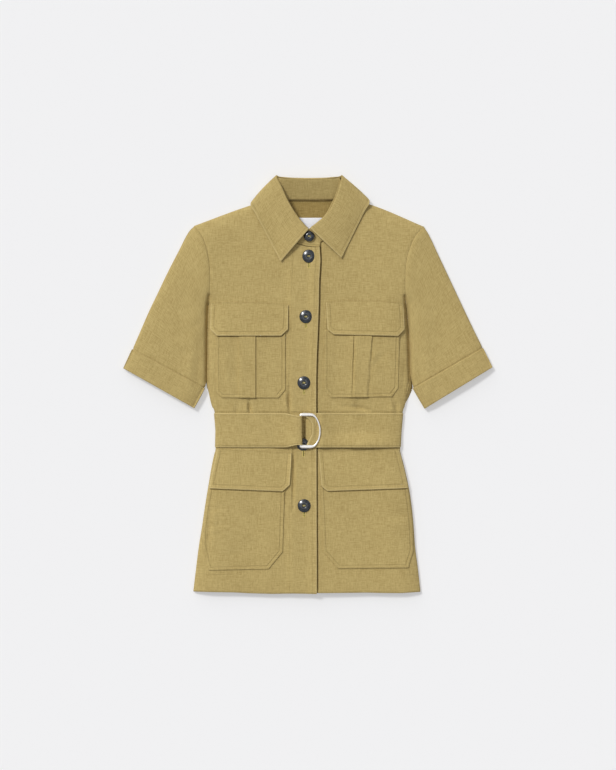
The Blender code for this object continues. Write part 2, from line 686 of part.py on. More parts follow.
# Label
x0, y0, x1, y1, tape = LABEL
label_low = [[(x, y, CLOTH + LABEL_LIFT) for x in (x0, x1)] for y in (y0, y1)]
label_high = [[(x, y, CLOTH + LABEL_LIFT + tape) for x in (x0, x1)] for y in (y0, y1)]
layered("label", label_high, label_low, WOVEN_TAPE)


def chest_pocket(name, table, surface):
    """A patch pocket whose box pleat stands up between two folds."""
    rows = []
    for lx, ly, fold_a, fold_b, rx, ry in table:
        rise = PLEAT_RISE * smooth((100 - ly) / 15)
        marks = [lx, lx + 3, lx + 9, (lx + fold_a) / 2, fold_a - PLEAT_EDGE]
        ups = [0.0] * 5
        marks += [fold_a, (fold_a * 2 + fold_b) / 3, (fold_a + fold_b * 2) / 3, fold_b]
        ups += [rise] * 4
        marks += [fold_b + PLEAT_EDGE, (rx + fold_b) / 2, rx - 9, rx - 3, rx]
        ups += [0.0] * 5
        rows.append([
            (x, ly + (ry - ly) * (x - lx) / (rx - lx), up) for x, up in zip(marks, ups)
        ])
    laid(name, rows, surface, lambda r: LAYER_GAP, KHAKI_CLOTH, 1.0)


chest_pocket("chest_pocket_right", CHEST_POCKET_RIGHT, over)
chest_pocket("chest_pocket_left", CHEST_POCKET_LEFT, height)


def flap(name, table, surface):
    rows = [row_points(t[0:2], t[2:4], t[4], FLAT_STEPS) for t in table]
    laid(name, rows, surface, lambda r: table[r][5], KHAKI_CLOTH)


flap("chest_flap_right", CHEST_FLAP_RIGHT, over)
flap("chest_flap_left", CHEST_FLAP_LEFT, height)
flap("hip_flap_right", HIP_FLAP_RIGHT, over)
flap("hip_flap_left", HIP_FLAP_LEFT, height)


def hip_pocket(name, table, surface):
    rows = [row_points(t[0:2], t[2:4], 0.0, FLAT_STEPS) for t in table]
    laid(name, rows, surface, lambda r: LAYER_GAP, KHAKI_CLOTH, 1.0)


hip_pocket("hip_pocket_right", HIP_POCKET_RIGHT, over)
hip_pocket("hip_pocket_left", HIP_POCKET_LEFT, height)

# Belt: sewn end round the ring's bar, left run, under the back, right run, free end
BELT_ROWS = 6
RIGHT_RUN_X = 78.0


def belt_point_rows():
    """Inner face of the belt, one line of points along it for each step of its width."""
    grid = []
    ring_z = over(0.0, -77.0)
    for i in range(BELT_ROWS + 1):
        share = i / BELT_ROWS
        y = BELT_BOTTOM_Y + (BELT_TOP_Y - BELT_BOTTOM_Y) * share
        middle = (BELT_BOTTOM_Y + BELT_TOP_Y) / 2
        left = between([(b, a) for a, b in SIDE_RIGHT], y)
        right = between([(b, a) for a, b in SIDE_LEFT], y)
        line = []
        for x, lift in BELT_RETURN + BELT_FOLD + BELT_LEFT_RUN:
            narrow = BELT_NARROWING * smooth((x + 40) / 24)
            reach = (BELT_TOP_Y - BELT_BOTTOM_Y) / 2
            at = middle + (y - middle) * (reach - narrow) / reach
            base = ring_z + (over(x, at) - ring_z) * smooth((-16 - x) / 20)
            line.append((x, at, base + lift))
        for x in (-80.0, -95.0, -108.0, -118.0):
            line.append((x, y, over(x, y) + LAYER_GAP))
        for step in reversed(SIDE_STEPS[1:]):
            line.append((left + step, y, height(left + step, y) + LAYER_GAP))
        line.append((left - LAYER_GAP, y, EDGE_Z + 0.8))
        line.append((left - LAYER_GAP, y, CLOTH))
        for step in (0.03, 0.25, 0.5, 0.75, 0.97):
            line.append((left + (right - left) * step, y, CLOTH))
        line.append((right + LAYER_GAP, y, CLOTH))
        line.append((right + LAYER_GAP, y, EDGE_Z + 0.8))
        for step in SIDE_STEPS[1:]:
            line.append((right - step, y, height(right - step, y) + LAYER_GAP))
        for x in (118.0, 104.0, 90.0, RIGHT_RUN_X):
            line.append((x, y, height(x, y) + LAYER_GAP))
        for x, lift in BELT_RIGHT_RUN:
            base = height(x, y) + OVERLAP_LIFT * smooth((40 - x) / 24)
            line.append((x, y, base + lift))
        end = between(BELT_END, y)
        line.append(((14.0 + end) / 2, y, ring_z + 3.5))
        line.append((end, y, ring_z + 3.5))
        grid.append(line)
    return grid


shell("belt", belt_point_rows(), KHAKI_CLOTH, side=-1)

# Ring, a closed bar of oval section
RING_SIDES = 10
RING_REFINE = 2


def rounded(table, times):
    """A closed line of points with more points between, on a smooth curve."""
    count = len(table)
    points = []
    for i in range(count):
        p0, p1, p2, p3 = (table[(i + k) % count] for k in (-1, 0, 1, 2))
        for k in range(times):
            t = k / times
            points.append(tuple(
                b + t * ((c - a) / 2 + t * ((2 * a - 5 * b + 4 * c - d) / 2
                + t * (3 * b - a - 3 * c + d) / 2))
                for a, b, c, d in zip(p0, p1, p2, p3)
            ))
    return points


ring_line = rounded(RING, RING_REFINE)
ring_level = over(0.0, -77.0) + RING_RISE
ring_points = []
ring_faces = []
for i, (x, y, half) in enumerate(ring_line):
    ahead = ring_line[(i + 1) % len(ring_line)]
    behind = ring_line[i - 1]
    way = Vector((ahead[0] - behind[0], ahead[1] - behind[1], 0)).normalized()
    for k in range(RING_SIDES):
        turn = 2 * math.pi * k / RING_SIDES
        out = half * math.cos(turn)
        ring_points.append(
            (x + way.y * out, y - way.x * out, ring_level + RING_HALF_HEIGHT * math.sin(turn))
        )
        a, b = i * RING_SIDES + k, i * RING_SIDES + (k + 1) % RING_SIDES
        step = RING_SIDES * len(ring_line)
        ring_faces.append((a, b, (b + RING_SIDES) % step, (a + RING_SIDES) % step))
new_object("d_ring", ring_points, ring_faces, RING_METAL)

# Buttons: sunk face, raised rim and four holes
BUTTON_SIDES = 28
HOLE_OFFSET = 2.1
HOLE_RADIUS = 0.95
HOLE_SIDES = 8
# Half section from the middle of the face to the middle of the back: share of radius, share of height
BUTTON_SECTION = ((0.0, 0.58), (0.55, 0.6), (0.74, 0.9), (0.86, 1.0), (0.97, 0.78), (1.0, 0.5),
                  (0.94, 0.18), (0.7, 0.0), (0.0, 0.0))


def button(name, x, y, z, radius):
    points = [(x, y, z + BUTTON_SECTION[0][1] * BUTTON_HEIGHT)]
    for reach, level in BUTTON_SECTION[1:-1]:
        for k in range(BUTTON_SIDES):
            turn = 2 * math.pi * k / BUTTON_SIDES
            points.append((
                x + radius * reach * math.cos(turn),
                y + radius * reach * math.sin(turn),
                z + level * BUTTON_HEIGHT,
            ))
    points.append((x, y, z))
    faces = []
    for k in range(BUTTON_SIDES):
        d = (k + 1) % BUTTON_SIDES
        faces.append((0, 1 + k, 1 + d))
        last = len(points) - 1
        base = 1 + (len(BUTTON_SECTION) - 3) * BUTTON_SIDES
        faces.append((last, base + d, base + k))
        for r in range(len(BUTTON_SECTION) - 3):
            a = 1 + r * BUTTON_SIDES
            faces.append((a + k, a + BUTTON_SIDES + k, a + BUTTON_SIDES + d, a + d))
    body = new_object(name, points, faces, BUTTON_HORN)
    hole_points = []
    hole_faces = []
    for sx, sy in ((1, 1), (1, -1), (-1, 1), (-1, -1)):
        start = len(hole_points)
        for level in (-1.0, BUTTON_HEIGHT + 1.0):
            for k in range(HOLE_SIDES):
                turn = 2 * math.pi * (k + 0.5) / HOLE_SIDES
                hole_points.append((
                    x + sx * HOLE_OFFSET + HOLE_RADIUS * math.cos(turn),
                    y + sy * HOLE_OFFSET + HOLE_RADIUS * math.sin(turn),
                    z + level,
                ))
        hole_faces.append([start + k for k in range(HOLE_SIDES)])
        hole_faces.append([start + HOLE_SIDES + k for k in range(HOLE_SIDES)])
        for k in range(HOLE_SIDES):
            d = (k + 1) % HOLE_SIDES
            hole_faces.append(
                (start + k, start + d, start + HOLE_SIDES + d, start + HOLE_SIDES + k)
            )
    cutter = new_object(name + "_holes", hole_points, hole_faces, BUTTON_HORN)
    cutter.hide_render = True
    cutter.display_type = "WIRE"
    cut = body.modifiers.new("holes", "BOOLEAN")
    cut.operation = "DIFFERENCE"
    cut.object = cutter
    cut.solver = "EXACT"


for number, (x, y, rise) in enumerate(BUTTONS, 1):
    radius = COLLAR_BUTTON_RADIUS if number == 1 else BUTTON_RADIUS
    button(f"button_{number}", x, y, over(x, y) + rise, radius)
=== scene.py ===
"""Safari jacket laid flat on a pale surface, seen from straight above."""

import math

import bmesh
import bpy
import numpy as np
from mathutils import Matrix, Vector
from mathutils.bvhtree import BVHTree


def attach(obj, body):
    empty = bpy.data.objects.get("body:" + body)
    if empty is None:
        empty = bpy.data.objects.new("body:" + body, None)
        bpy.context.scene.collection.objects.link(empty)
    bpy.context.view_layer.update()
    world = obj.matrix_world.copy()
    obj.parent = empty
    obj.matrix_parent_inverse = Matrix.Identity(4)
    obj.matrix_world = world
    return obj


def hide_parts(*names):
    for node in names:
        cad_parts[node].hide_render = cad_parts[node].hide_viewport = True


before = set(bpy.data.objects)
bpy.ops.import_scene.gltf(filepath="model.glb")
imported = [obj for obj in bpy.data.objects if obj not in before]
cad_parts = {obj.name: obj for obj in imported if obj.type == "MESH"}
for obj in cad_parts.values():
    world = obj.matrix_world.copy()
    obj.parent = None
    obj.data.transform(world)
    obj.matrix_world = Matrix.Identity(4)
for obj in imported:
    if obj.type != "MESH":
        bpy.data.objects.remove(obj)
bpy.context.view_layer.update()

# The view
# The jacket lies on its back, so the camera hangs above it and looks straight down. The
# photograph is 770 pixels high at 1.70 mm a pixel, taken with a long lens.
MM = 0.001
LENS = 120.0
SENSOR = 36.0
PHOTO_ROWS = 770
MM_PER_PIXEL = 1.70
VIEW_HEIGHT = PHOTO_ROWS * MM_PER_PIXEL * MM
JACKET_LEVEL = 0.010


def add_object(name, data):
    """A new object at the origin that holds a camera, a light or a mesh."""
    made = bpy.data.objects.new(name, data)
    bpy.context.collection.objects.link(made)
    return made


camera_data = bpy.data.cameras.new("camera")
camera_data.lens = LENS
camera_data.sensor_width = SENSOR
camera_data.clip_end = 50.0
camera = add_object("camera", camera_data)
camera.location = (0.0, 0.0, VIEW_HEIGHT * LENS / SENSOR + JACKET_LEVEL)
bpy.context.scene.camera = camera

# The back
# One piece of khaki linen from hem to neck seam, in plain weave with slubs in both
# directions. It lies flat on the surface and shows only inside the neck opening.
SIDE_RIGHT = (
    (-194.6, -351.0), (-189.9, -312.0), (-185.2, -275.0), (-179.6, -240.0), (-174.9, -208.0),
    (-169.4, -174.0), (-163.2, -138.0), (-159.0, -118.0), (-156.8, -109.0), (-156.0, -77.0),
    (-158.6, -45.0), (-162.8, -36.0), (-167.2, -18.0), (-170.4, 7.0), (-171.0, 52.0),
    (-170.6, 95.0), (-169.8, 137.0),
)
SIDE_LEFT = (
    (190.8, -351.7), (186.4, -312.0), (181.7, -275.0), (179.2, -240.0), (176.0, -208.0),
    (170.9, -174.0), (162.8, -138.0), (157.6, -118.0), (156.2, -109.0), (157.6, -80.0),
    (160.6, -46.0), (163.8, -36.0), (167.6, -18.0), (171.7, 7.0), (171.2, 52.0),
    (168.8, 95.0), (166.9, 134.3),
)
ARMHOLE_RIGHT = (
    (-169.8, 137.0), (-167.9, 152.0), (-166.8, 168.0), (-166.7, 185.0), (-167.4, 202.0),
    (-169.4, 217.0), (-173.6, 236.0), (-180.5, 253.0), (-193.0, 270.5),
)
ARMHOLE_LEFT = (
    (166.9, 134.3), (165.3, 150.0), (164.8, 167.0), (164.9, 184.0), (165.6, 201.0),
    (168.4, 218.0), (174.5, 236.5), (182.8, 254.0), (197.0, 269.0),
)
NECK_RIGHT = (
    (19.4, 234.6), (8.0, 234.3), (-10.0, 236.5), (-28.0, 246.0), (-45.0, 264.0),
    (-58.0, 288.0), (-66.0, 315.0),
)
NECK_LEFT = (
    (-21.0, 233.6), (-8.0, 233.4), (10.0, 235.6), (28.0, 245.0), (46.0, 264.0),
    (59.0, 289.0), (66.0, 317.0),
)
SHOULDER_BOW_RIGHT = 1.5
SHOULDER_BOW_LEFT = 4.4
BACK_NECK_Y = 315.3
CLOTH = 1.0
# How far a free edge rounds out, as a share of the wall
RIM_ROUND = 0.32
SEAM_GAP = 0.25
BELT_PASS_Z = 1.65
BODY = "root"
# Slubs along and across the cloth: width and height in millimetres
SLUBS = ((22.0, 1.0), (1.0, 22.0), (7.0, 0.8), (0.8, 7.0))
PAINTED_EDGE_HIGHLIGHT = "#DECB92"
PAINTED_NEEDLE_SHADE = "#5A4820"


def smooth(value):
    """From 0 to 1 with soft ends."""
    value = np.clip(value, 0.0, 1.0)
    return value * value * (3 - 2 * value)


def mix(a, b, share):
    """Points between a and b, one for each share."""
    a, b = np.asarray(a, float), np.asarray(b, float)
    share = np.asarray(share, float)[..., None]
    return a + (b - a) * share


def travelled(line):
    """Length of a polyline up to each of its points."""
    steps = np.linalg.norm(np.diff(line, axis=0), axis=1)
    return np.concatenate([[0], np.cumsum(steps)])


def along(line, shares):
    """Points at shares of a polyline's length."""
    line = np.asarray(line, float)
    marks = travelled(line)
    at = np.asarray(shares, float) * marks[-1]
    return np.stack([np.interp(at, marks, column) for column in line.T], axis=-1)


def flow(rows, times):
    """A table of rows with more rows between, on a smooth curve through them."""
    rows = np.asarray(rows, float)
    ends = np.concatenate([2 * rows[:1] - rows[1:2], rows, 2 * rows[-1:] - rows[-2:-1]])
    out = []
    for a, b, c, d in zip(ends, ends[1:], ends[2:], ends[3:]):
        t = np.arange(times)[:, None] / times
        out.append(b + t * ((c - a) / 2 + t * ((2 * a - 5 * b + 4 * c - d) / 2
                   + t * (3 * b - a - 3 * c + d) / 2)))
    return np.concatenate(out + [rows[-1:]])


def floor_lift(y):
    """The belt's back run passes under the back and carries it."""
    return BELT_PASS_Z * smooth((y + 117) / 8) * smooth((-37 - y) / 8)


def rim(grid, inner, ring):
    """Point pairs round the open edge of a shell, and rounded points between them."""
    rows, columns = grid.shape[:2]
    index = np.arange(rows * columns).reshape(rows, columns)
    if ring:
        loops = [(index[0][::-1], index[1][::-1]), (index[-1], index[-2])]
    else:
        loop = [index[0, :-1], index[:-1, -1], index[-1, :0:-1], index[:0:-1, 0]]
        beside = [index[1, :-1], index[:-1, -2], index[-2, :0:-1], index[:0:-1, 1]]
        loops = [(np.concatenate(loop)[::-1], np.concatenate(beside)[::-1])]
    flat, under = grid.reshape(-1, 3), inner.reshape(-1, 3)
    result = []
    for loop, beside in loops:
        out = flat[loop] - flat[beside]
        out /= np.maximum(np.linalg.norm(out, axis=1, keepdims=True), 1e-9)
        wall = np.linalg.norm(flat[loop] - under[loop], axis=1, keepdims=True)
        result.append((loop, (flat[loop] + under[loop]) / 2 + out * wall * RIM_ROUND))
    return result


def shell(name, grid, thick, uv, ring=False, flip=False, inner=None, **marks):
    """A cloth piece: a wall of even thickness behind a grid of points in millimetres.

    uv holds the place on the cloth in metres. The marks rim and needle are distances in
    millimetres from a free edge and from a line of stitches, which the material reads to paint a
    highlight along the edge and shade along the stitches.
    """
    grid = np.asarray(grid, float)
    rows, columns = grid.shape[:2]
    wide = np.concatenate([grid, grid[:, :1]], axis=1) if ring else grid
    normal = np.cross(wide[1:, 1:] - wide[:-1, :-1], wide[1:, :-1] - wide[:-1, 1:])
    normal /= np.maximum(np.linalg.norm(normal, axis=2, keepdims=True), 1e-12)
    total = np.zeros(wide.shape)
    for a in (0, 1):
        for b in (0, 1):
            total[a:a + rows - 1, b:b + wide.shape[1] - 1] += normal
    if ring:
        total[:, 0] += total[:, -1]
        total = total[:, :-1]
    count = np.maximum(np.linalg.norm(total, axis=2, keepdims=True), 1e-9)
    unit = total / count
    if inner is None:
        inner = grid + unit * (thick if flip else -thick)
        inner[..., 2] = np.maximum(inner[..., 2], 0.0)
    size = rows * columns
    points = [grid.reshape(-1, 3), inner.reshape(-1, 3)]
    index = np.arange(size).reshape(rows, columns)
    if ring:
        index = np.concatenate([index, index[:, :1]], axis=1)
    a, b = index[:-1, :-1].ravel(), index[:-1, 1:].ravel()
    c, d = index[1:, 1:].ravel(), index[1:, :-1].ravel()
    faces = [np.stack([a, b, c, d], axis=1), np.stack([d, c, b, a], axis=1) + size]
    start = 2 * size
    source = [np.arange(size), np.arange(size)]
    for loop, middle in rim(grid, inner, ring):
        own = start + np.arange(len(loop))
        following, ahead = np.roll(loop, -1), np.roll(own, -1)
        faces.append(np.stack([loop, following, ahead, own], axis=1))
        faces.append(np.stack([own, ahead, following + size, loop + size], axis=1))
        middle[:, 2] = np.maximum(middle[:, 2], 0.0)
        points.append(middle)
        source.append(loop)
        start += len(loop)
    faces = np.concatenate(faces)
    source = np.concatenate(source)
    mesh = bpy.data.meshes.new(name)
    mesh.from_pydata((np.concatenate(points) * MM).tolist(), [], faces.tolist())
    built = bmesh.new()
    built.from_mesh(mesh)
    bmesh.ops.recalc_face_normals(built, faces=built.faces)
    if built.calc_volume(signed=True) < 0:
        bmesh.ops.reverse_faces(built, faces=built.faces)
    built.to_mesh(mesh)
    built.free()
    mesh.shade_smooth()
    corner = np.empty(len(mesh.loops), np.int32)
    mesh.loops.foreach_get("vertex_index", corner)
    layer = mesh.uv_layers.new(name="cloth")
    layer.data.foreach_set("uv", np.asarray(uv).reshape(-1, 2)[source[corner]].ravel())
    for mark in ("rim", "needle"):
        values = np.asarray(marks.get(mark, np.full((rows, columns), 99.0)), float)
        held = mesh.attributes.new(mark, "FLOAT", "POINT")
        held.data.foreach_set("value", values.ravel()[source])
    return add_object(name, mesh)


def linear(code):
    """An sRGB hex colour as linear red, green and blue with full alpha."""
    parts = [int(code[i:i + 2], 16) / 255 for i in (1, 3, 5)]
    return tuple(p / 12.92 if p <= 0.04045 else ((p + 0.055) / 1.055) ** 2.4 for p in parts) + (1,)


def add_node(tree, kind, values=None, **settings):
    """Adds a node, with its settings and with a value or a link on each named input."""
    made = tree.nodes.new(kind)
    for key, value in settings.items():
        setattr(made, key, value)
    for key, value in (values or {}).items():
        if isinstance(value, bpy.types.NodeSocket):
            tree.links.new(value, made.inputs[key])
        else:
            made.inputs[key].default_value = value
    return made


def finish(name, values):
    """A new material with values on its shader's own sockets, its node tree and its shader."""
    made = bpy.data.materials.new(name)
    made.use_nodes = True
    shader = made.node_tree.nodes["Principled BSDF"]
    for key, value in values.items():
        shader.inputs[key].default_value = value
    return made, made.node_tree, shader


def linen(name, light, dark):
    """Khaki cloth, taken as linen in plain weave, with slubs along both thread directions.

    The threads of such cloth are under a millimetre apart, too fine to show at this scale.
    The slubs are 0.8 to 1.0 mm wide, coarser than real ones, so that they show.
    """
    made, tree, shader = finish(name, {
        "Roughness": 0.86, "Specular IOR Level": 0.25, "Sheen Weight": 0.08,
        "Sheen Roughness": 0.5})
    place = add_node(tree, "ShaderNodeUVMap", uv_map="cloth").outputs["UV"]
    streaks = []
    for wide, high in SLUBS:
        scaled = add_node(tree, "ShaderNodeMapping", {
            "Vector": place, "Scale": (1 / (wide * MM), 1 / (high * MM), 1.0)})
        streaks.append(add_node(tree, "ShaderNodeTexNoise", {
            "Vector": scaled.outputs["Vector"], "Scale": 1.0, "Detail": 1.0},
            noise_dimensions="2D").outputs[0])
    both = streaks[0]
    for streak in streaks[1:]:
        both = add_node(tree, "ShaderNodeMath", {0: both, 1: streak}).outputs[0]
    cloud = add_node(tree, "ShaderNodeTexNoise", {
        "Vector": place, "Scale": 22.0, "Detail": 1.0}, noise_dimensions="2D").outputs[0]
    cloudy = add_node(tree, "ShaderNodeMath", {0: cloud, 1: 0.25, 2: both},
                      operation="MULTIPLY_ADD")
    tone = add_node(tree, "ShaderNodeMapRange", {
        "Value": cloudy.outputs[0], "From Min": 1.72, "From Max": 2.52})
    colour = add_node(tree, "ShaderNodeMix", {
        "Factor": tone.outputs["Result"], "A": linear(dark), "B": linear(light)},
        data_type="RGBA")
    # Painted highlight lightens a free edge; painted shade darkens the cloth where it dips at a
    # needle line.
    rim_mark = add_node(tree, "ShaderNodeAttribute", attribute_name="rim").outputs["Fac"]
    edge_highlight = add_node(tree, "ShaderNodeMapRange", {
        "Value": rim_mark, "From Min": 0.6, "From Max": 2.4, "To Min": 0.32, "To Max": 0.0})
    highlighted = add_node(tree, "ShaderNodeMix", {
        "Factor": edge_highlight.outputs["Result"], "A": colour.outputs["Result"],
        "B": linear(PAINTED_EDGE_HIGHLIGHT)}, data_type="RGBA")
    # Painted shade: the colour darkens along needle lines and pressed folds, where the cloth's dip
    # would lie in shadow
    needle = add_node(tree, "ShaderNodeAttribute", attribute_name="needle").outputs["Fac"]
    dip = add_node(tree, "ShaderNodeMapRange", {
        "Value": needle, "From Min": 0.3, "From Max": 1.4, "To Min": 1.0, "To Max": 0.0},
        interpolation_type="SMOOTHSTEP")
    shade = add_node(tree, "ShaderNodeMath", {0: dip.outputs["Result"], 1: 0.17},
                     operation="MULTIPLY")
    stitched = add_node(tree, "ShaderNodeMix", {
        "Factor": shade.outputs[0], "A": highlighted.outputs["Result"], "B": linear(PAINTED_NEEDLE_SHADE)},
        data_type="RGBA")
    tree.links.new(stitched.outputs["Result"], shader.inputs["Base Color"])
    slubbed = add_node(tree, "ShaderNodeBump", {
        "Height": both, "Strength": 0.35, "Distance": 0.3 * MM})
    sunk = add_node(tree, "ShaderNodeBump", {
        "Height": dip.outputs["Result"], "Strength": 0.7, "Distance": 0.4 * MM,
        "Normal": slubbed.outputs["Normal"]}, invert=True)
    tree.links.new(sunk.outputs["Normal"], shader.inputs["Normal"])
    return made


def sewn(piece, nodes, material):
    """The calls that every cloth piece makes: its material, its body, and hiding the CAD nodes it
    replaces.
    """
    piece.data.materials.append(material)
    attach(piece, BODY)
    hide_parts(*nodes)
    return piece


def shoulder(neck, arm, bow):
    """The shoulder seam, which bows up between armhole and neck."""
    shares = np.linspace(0, 1, 41)
    points = mix(arm, neck, shares)
    points[:, 1] += bow * np.sin(np.pi * shares ** 1.3)
    return points


KHAKI = linen("khaki_linen", "#C0AB70", "#A8925A")
# A darker copy of the same linen: painted shade for the back, which lies deep inside the neck
# opening
KHAKI_PAINTED_SHADE = linen("khaki_linen_painted_shade", "#A79056", "#8B7540")
SHOULDER_RIGHT = shoulder(NECK_RIGHT[-1], ARMHOLE_RIGHT[-1], SHOULDER_BOW_RIGHT)
SHOULDER_LEFT = shoulder(NECK_LEFT[-1], ARMHOLE_LEFT[-1], SHOULDER_BOW_LEFT)
# The back lies a little inside the fronts' outline, at the sides and at the shoulders
BACK_INSET = 1.8
SHOULDER_INSET = 2.2


def back_edge(side, armhole, seam, inset_x, neck_end):
    """One side of the back's outline, from the hem to the end of the neck seam."""
    edge = np.concatenate([flow(side, 8), flow(armhole, 6)[1:-3], seam[2:-2]])
    slope = smooth((np.arange(len(edge)) - (len(edge) - 44)) / 6)
    edge = edge + np.stack([np.full(len(slope), inset_x), -SHOULDER_INSET * slope], axis=1)
    return np.concatenate([edge, [neck_end]])


left_edge = back_edge(SIDE_RIGHT, ARMHOLE_RIGHT, SHOULDER_RIGHT, BACK_INSET,
                      (-60.0, BACK_NECK_Y - 0.6))
right_edge = back_edge(SIDE_LEFT, ARMHOLE_LEFT, SHOULDER_LEFT, -BACK_INSET, (60.0, BACK_NECK_Y))
back = np.stack([mix(a, b, np.linspace(0, 1, 81)) for a, b in zip(left_edge, right_edge)])
back = np.concatenate([back, (floor_lift(back[..., 1]) + CLOTH)[..., None]], axis=2)
back_under = back - np.array([0, 0, CLOTH])
back_piece = shell("back_panel", back, CLOTH, back[..., :2] * MM, inner=back_under)
# The back takes the darker copy of the linen: painted shade inside the neck
sewn(back_piece, ["back"],
     KHAKI_PAINTED_SHADE)

# The fronts
# Two linen fronts, joined to the back at sides and shoulders, where the cloth turns down
# to the surface. The wearer's right front lies on top along a stitched placket edge.
EDGE_Z = 5.2
ROLL_REACH = 38.0
SLEEVE_CROWN = 11.5
OVERLAP_LIFT = 1.75
OVERLAP_EDGE_X = -22.0
PLACKET_LIFT = 3.9
# Beside the belt's sewn end the cloth sinks between belt and ring
RING_SLOT_X = -7.4
RING_SLOT_DEPTH = 7.4
BELT_HIGH_Y = -48.3
BELT_LOW_Y = -105.7
CROWN = (
    (-360, 12.5), (-250, 12.5), (-175, 12.2), (-125, 11.2), (-108, 10.8), (-45, 10.8),
    (-20, 12.0), (40, 14.0), (120, 14.5), (200, 14.0), (260, 13.0), (330, 11.0),
)
EDGE_OVER = (
    (14.8, -354.6), (14.8, -315.0), (14.7, -278.0), (14.5, -241.0), (14.4, -208.0),
    (14.3, -174.0), (14.2, -138.0), (14.1, -118.0), (14.1, -109.0), (13.9, -77.0),
    (13.7, -45.0), (13.6, -36.0), (13.6, -16.0), (13.7, 10.0), (14.8, 52.0),
    (16.5, 92.0), (17.9, 130.0),
)
EDGE_UNDER = tuple((OVERLAP_EDGE_X, y + 0.8) for x, y in EDGE_OVER)
EDGE_OVER_TOP = ((17.9, 130.0), (18.8, 179.0), (20.9, 212.0), (19.4, 234.6))
EDGE_UNDER_TOP = ((OVERLAP_EDGE_X, 130.8), (OVERLAP_EDGE_X, 190.0), (-21.0, 233.6))
PLACKET_EDGE = [(y, x) for x, y in EDGE_OVER + EDGE_OVER_TOP]
SLEEVE_RIGHT = (
    (-193.0, 270.5, -169.8, 137.0, 1.0),
    (-204.5, 257.5, -170.8, 118.0, 0.75),
    (-220.0, 227.5, -172.0, 96.0, 0.5),
    (-238.0, 192.5, -172.4, 73.0, 0.3),
    (-255.0, 157.0, -172.6, 51.0, 0.15),
    (-270.5, 124.5, -172.7, 31.0, 0.05),
    (-285.5, 90.0, -173.0, 12.0, 0.0),
    (-296.0, 65.6, -175.3, -1.5, 0.0),
    (-297.4, 60.2, -178.2, -5.4, 0.0),
    (-304.7, 45.0, -186.6, -21.0, 0.0),
    (-311.6, 30.6, -194.4, -35.6, 0.0),
)
SLEEVE_LEFT = (
    (197.0, 269.0, 166.9, 134.3, 1.0),
    (207.0, 252.5, 169.3, 113.9, 0.75),
    (221.0, 222.5, 171.0, 92.0, 0.5),
    (237.0, 188.5, 172.5, 70.0, 0.3),
    (252.5, 155.5, 173.3, 49.0, 0.15),
    (267.5, 123.5, 173.8, 29.0, 0.05),
    (284.0, 89.0, 176.2, 10.0, 0.0),
    (294.6, 67.5, 179.2, -1.5, 0.0),
    (296.0, 62.0, 180.8, -5.4, 0.0),
    (303.8, 46.8, 190.3, -22.0, 0.0),
    (310.7, 32.5, 199.8, -37.0, 0.0),
)
FOLDED_EDGES = (
    SIDE_RIGHT, SIDE_LEFT, SHOULDER_RIGHT, SHOULDER_LEFT,
    [row[:2] for row in SLEEVE_RIGHT], [row[2:4] for row in SLEEVE_RIGHT],
    [row[:2] for row in SLEEVE_LEFT], [row[2:4] for row in SLEEVE_LEFT],
)
# Where a sleeve lies against its side the cloth falls into a slot: line, depth, half width
SLOTS = (
    (((-167.9, 152.0), (-171.2, 128.0), (-171.6, 74.0), (-171.8, 6.0)), 4.2, 3.0),
    (((165.3, 150.0), (169.4, 114.0), (171.9, 70.0), (172.6, 44.0), (174.4, 2.0)), 4.8, 2.8),
)
# Under each arm the side spreads on the surface: y, how far, for the right and left side
UNDERARM_SPREAD = {
    -1: ((-16, 0), (-4, 2.8), (6, 3.3), (20, 2.3), (40, 1.8), (96, 1.4), (120, 0.8), (137, 0)),
    1: ((-34, 0), (-20, 5.0), (-6, 8.0), (8, 4.9), (28, 2.5), (92, 2.3), (114, 1.2), (134, 0)),
}
# The hem hangs lower in two soft bows: x, how far
HEM_BOW = (
    (-190, 0), (-125, 0), (-100, 1.0), (-60, 1.4), (-25, 0), (100, 0), (132, 1.0),
    (160, 1.3), (186, 0),
)
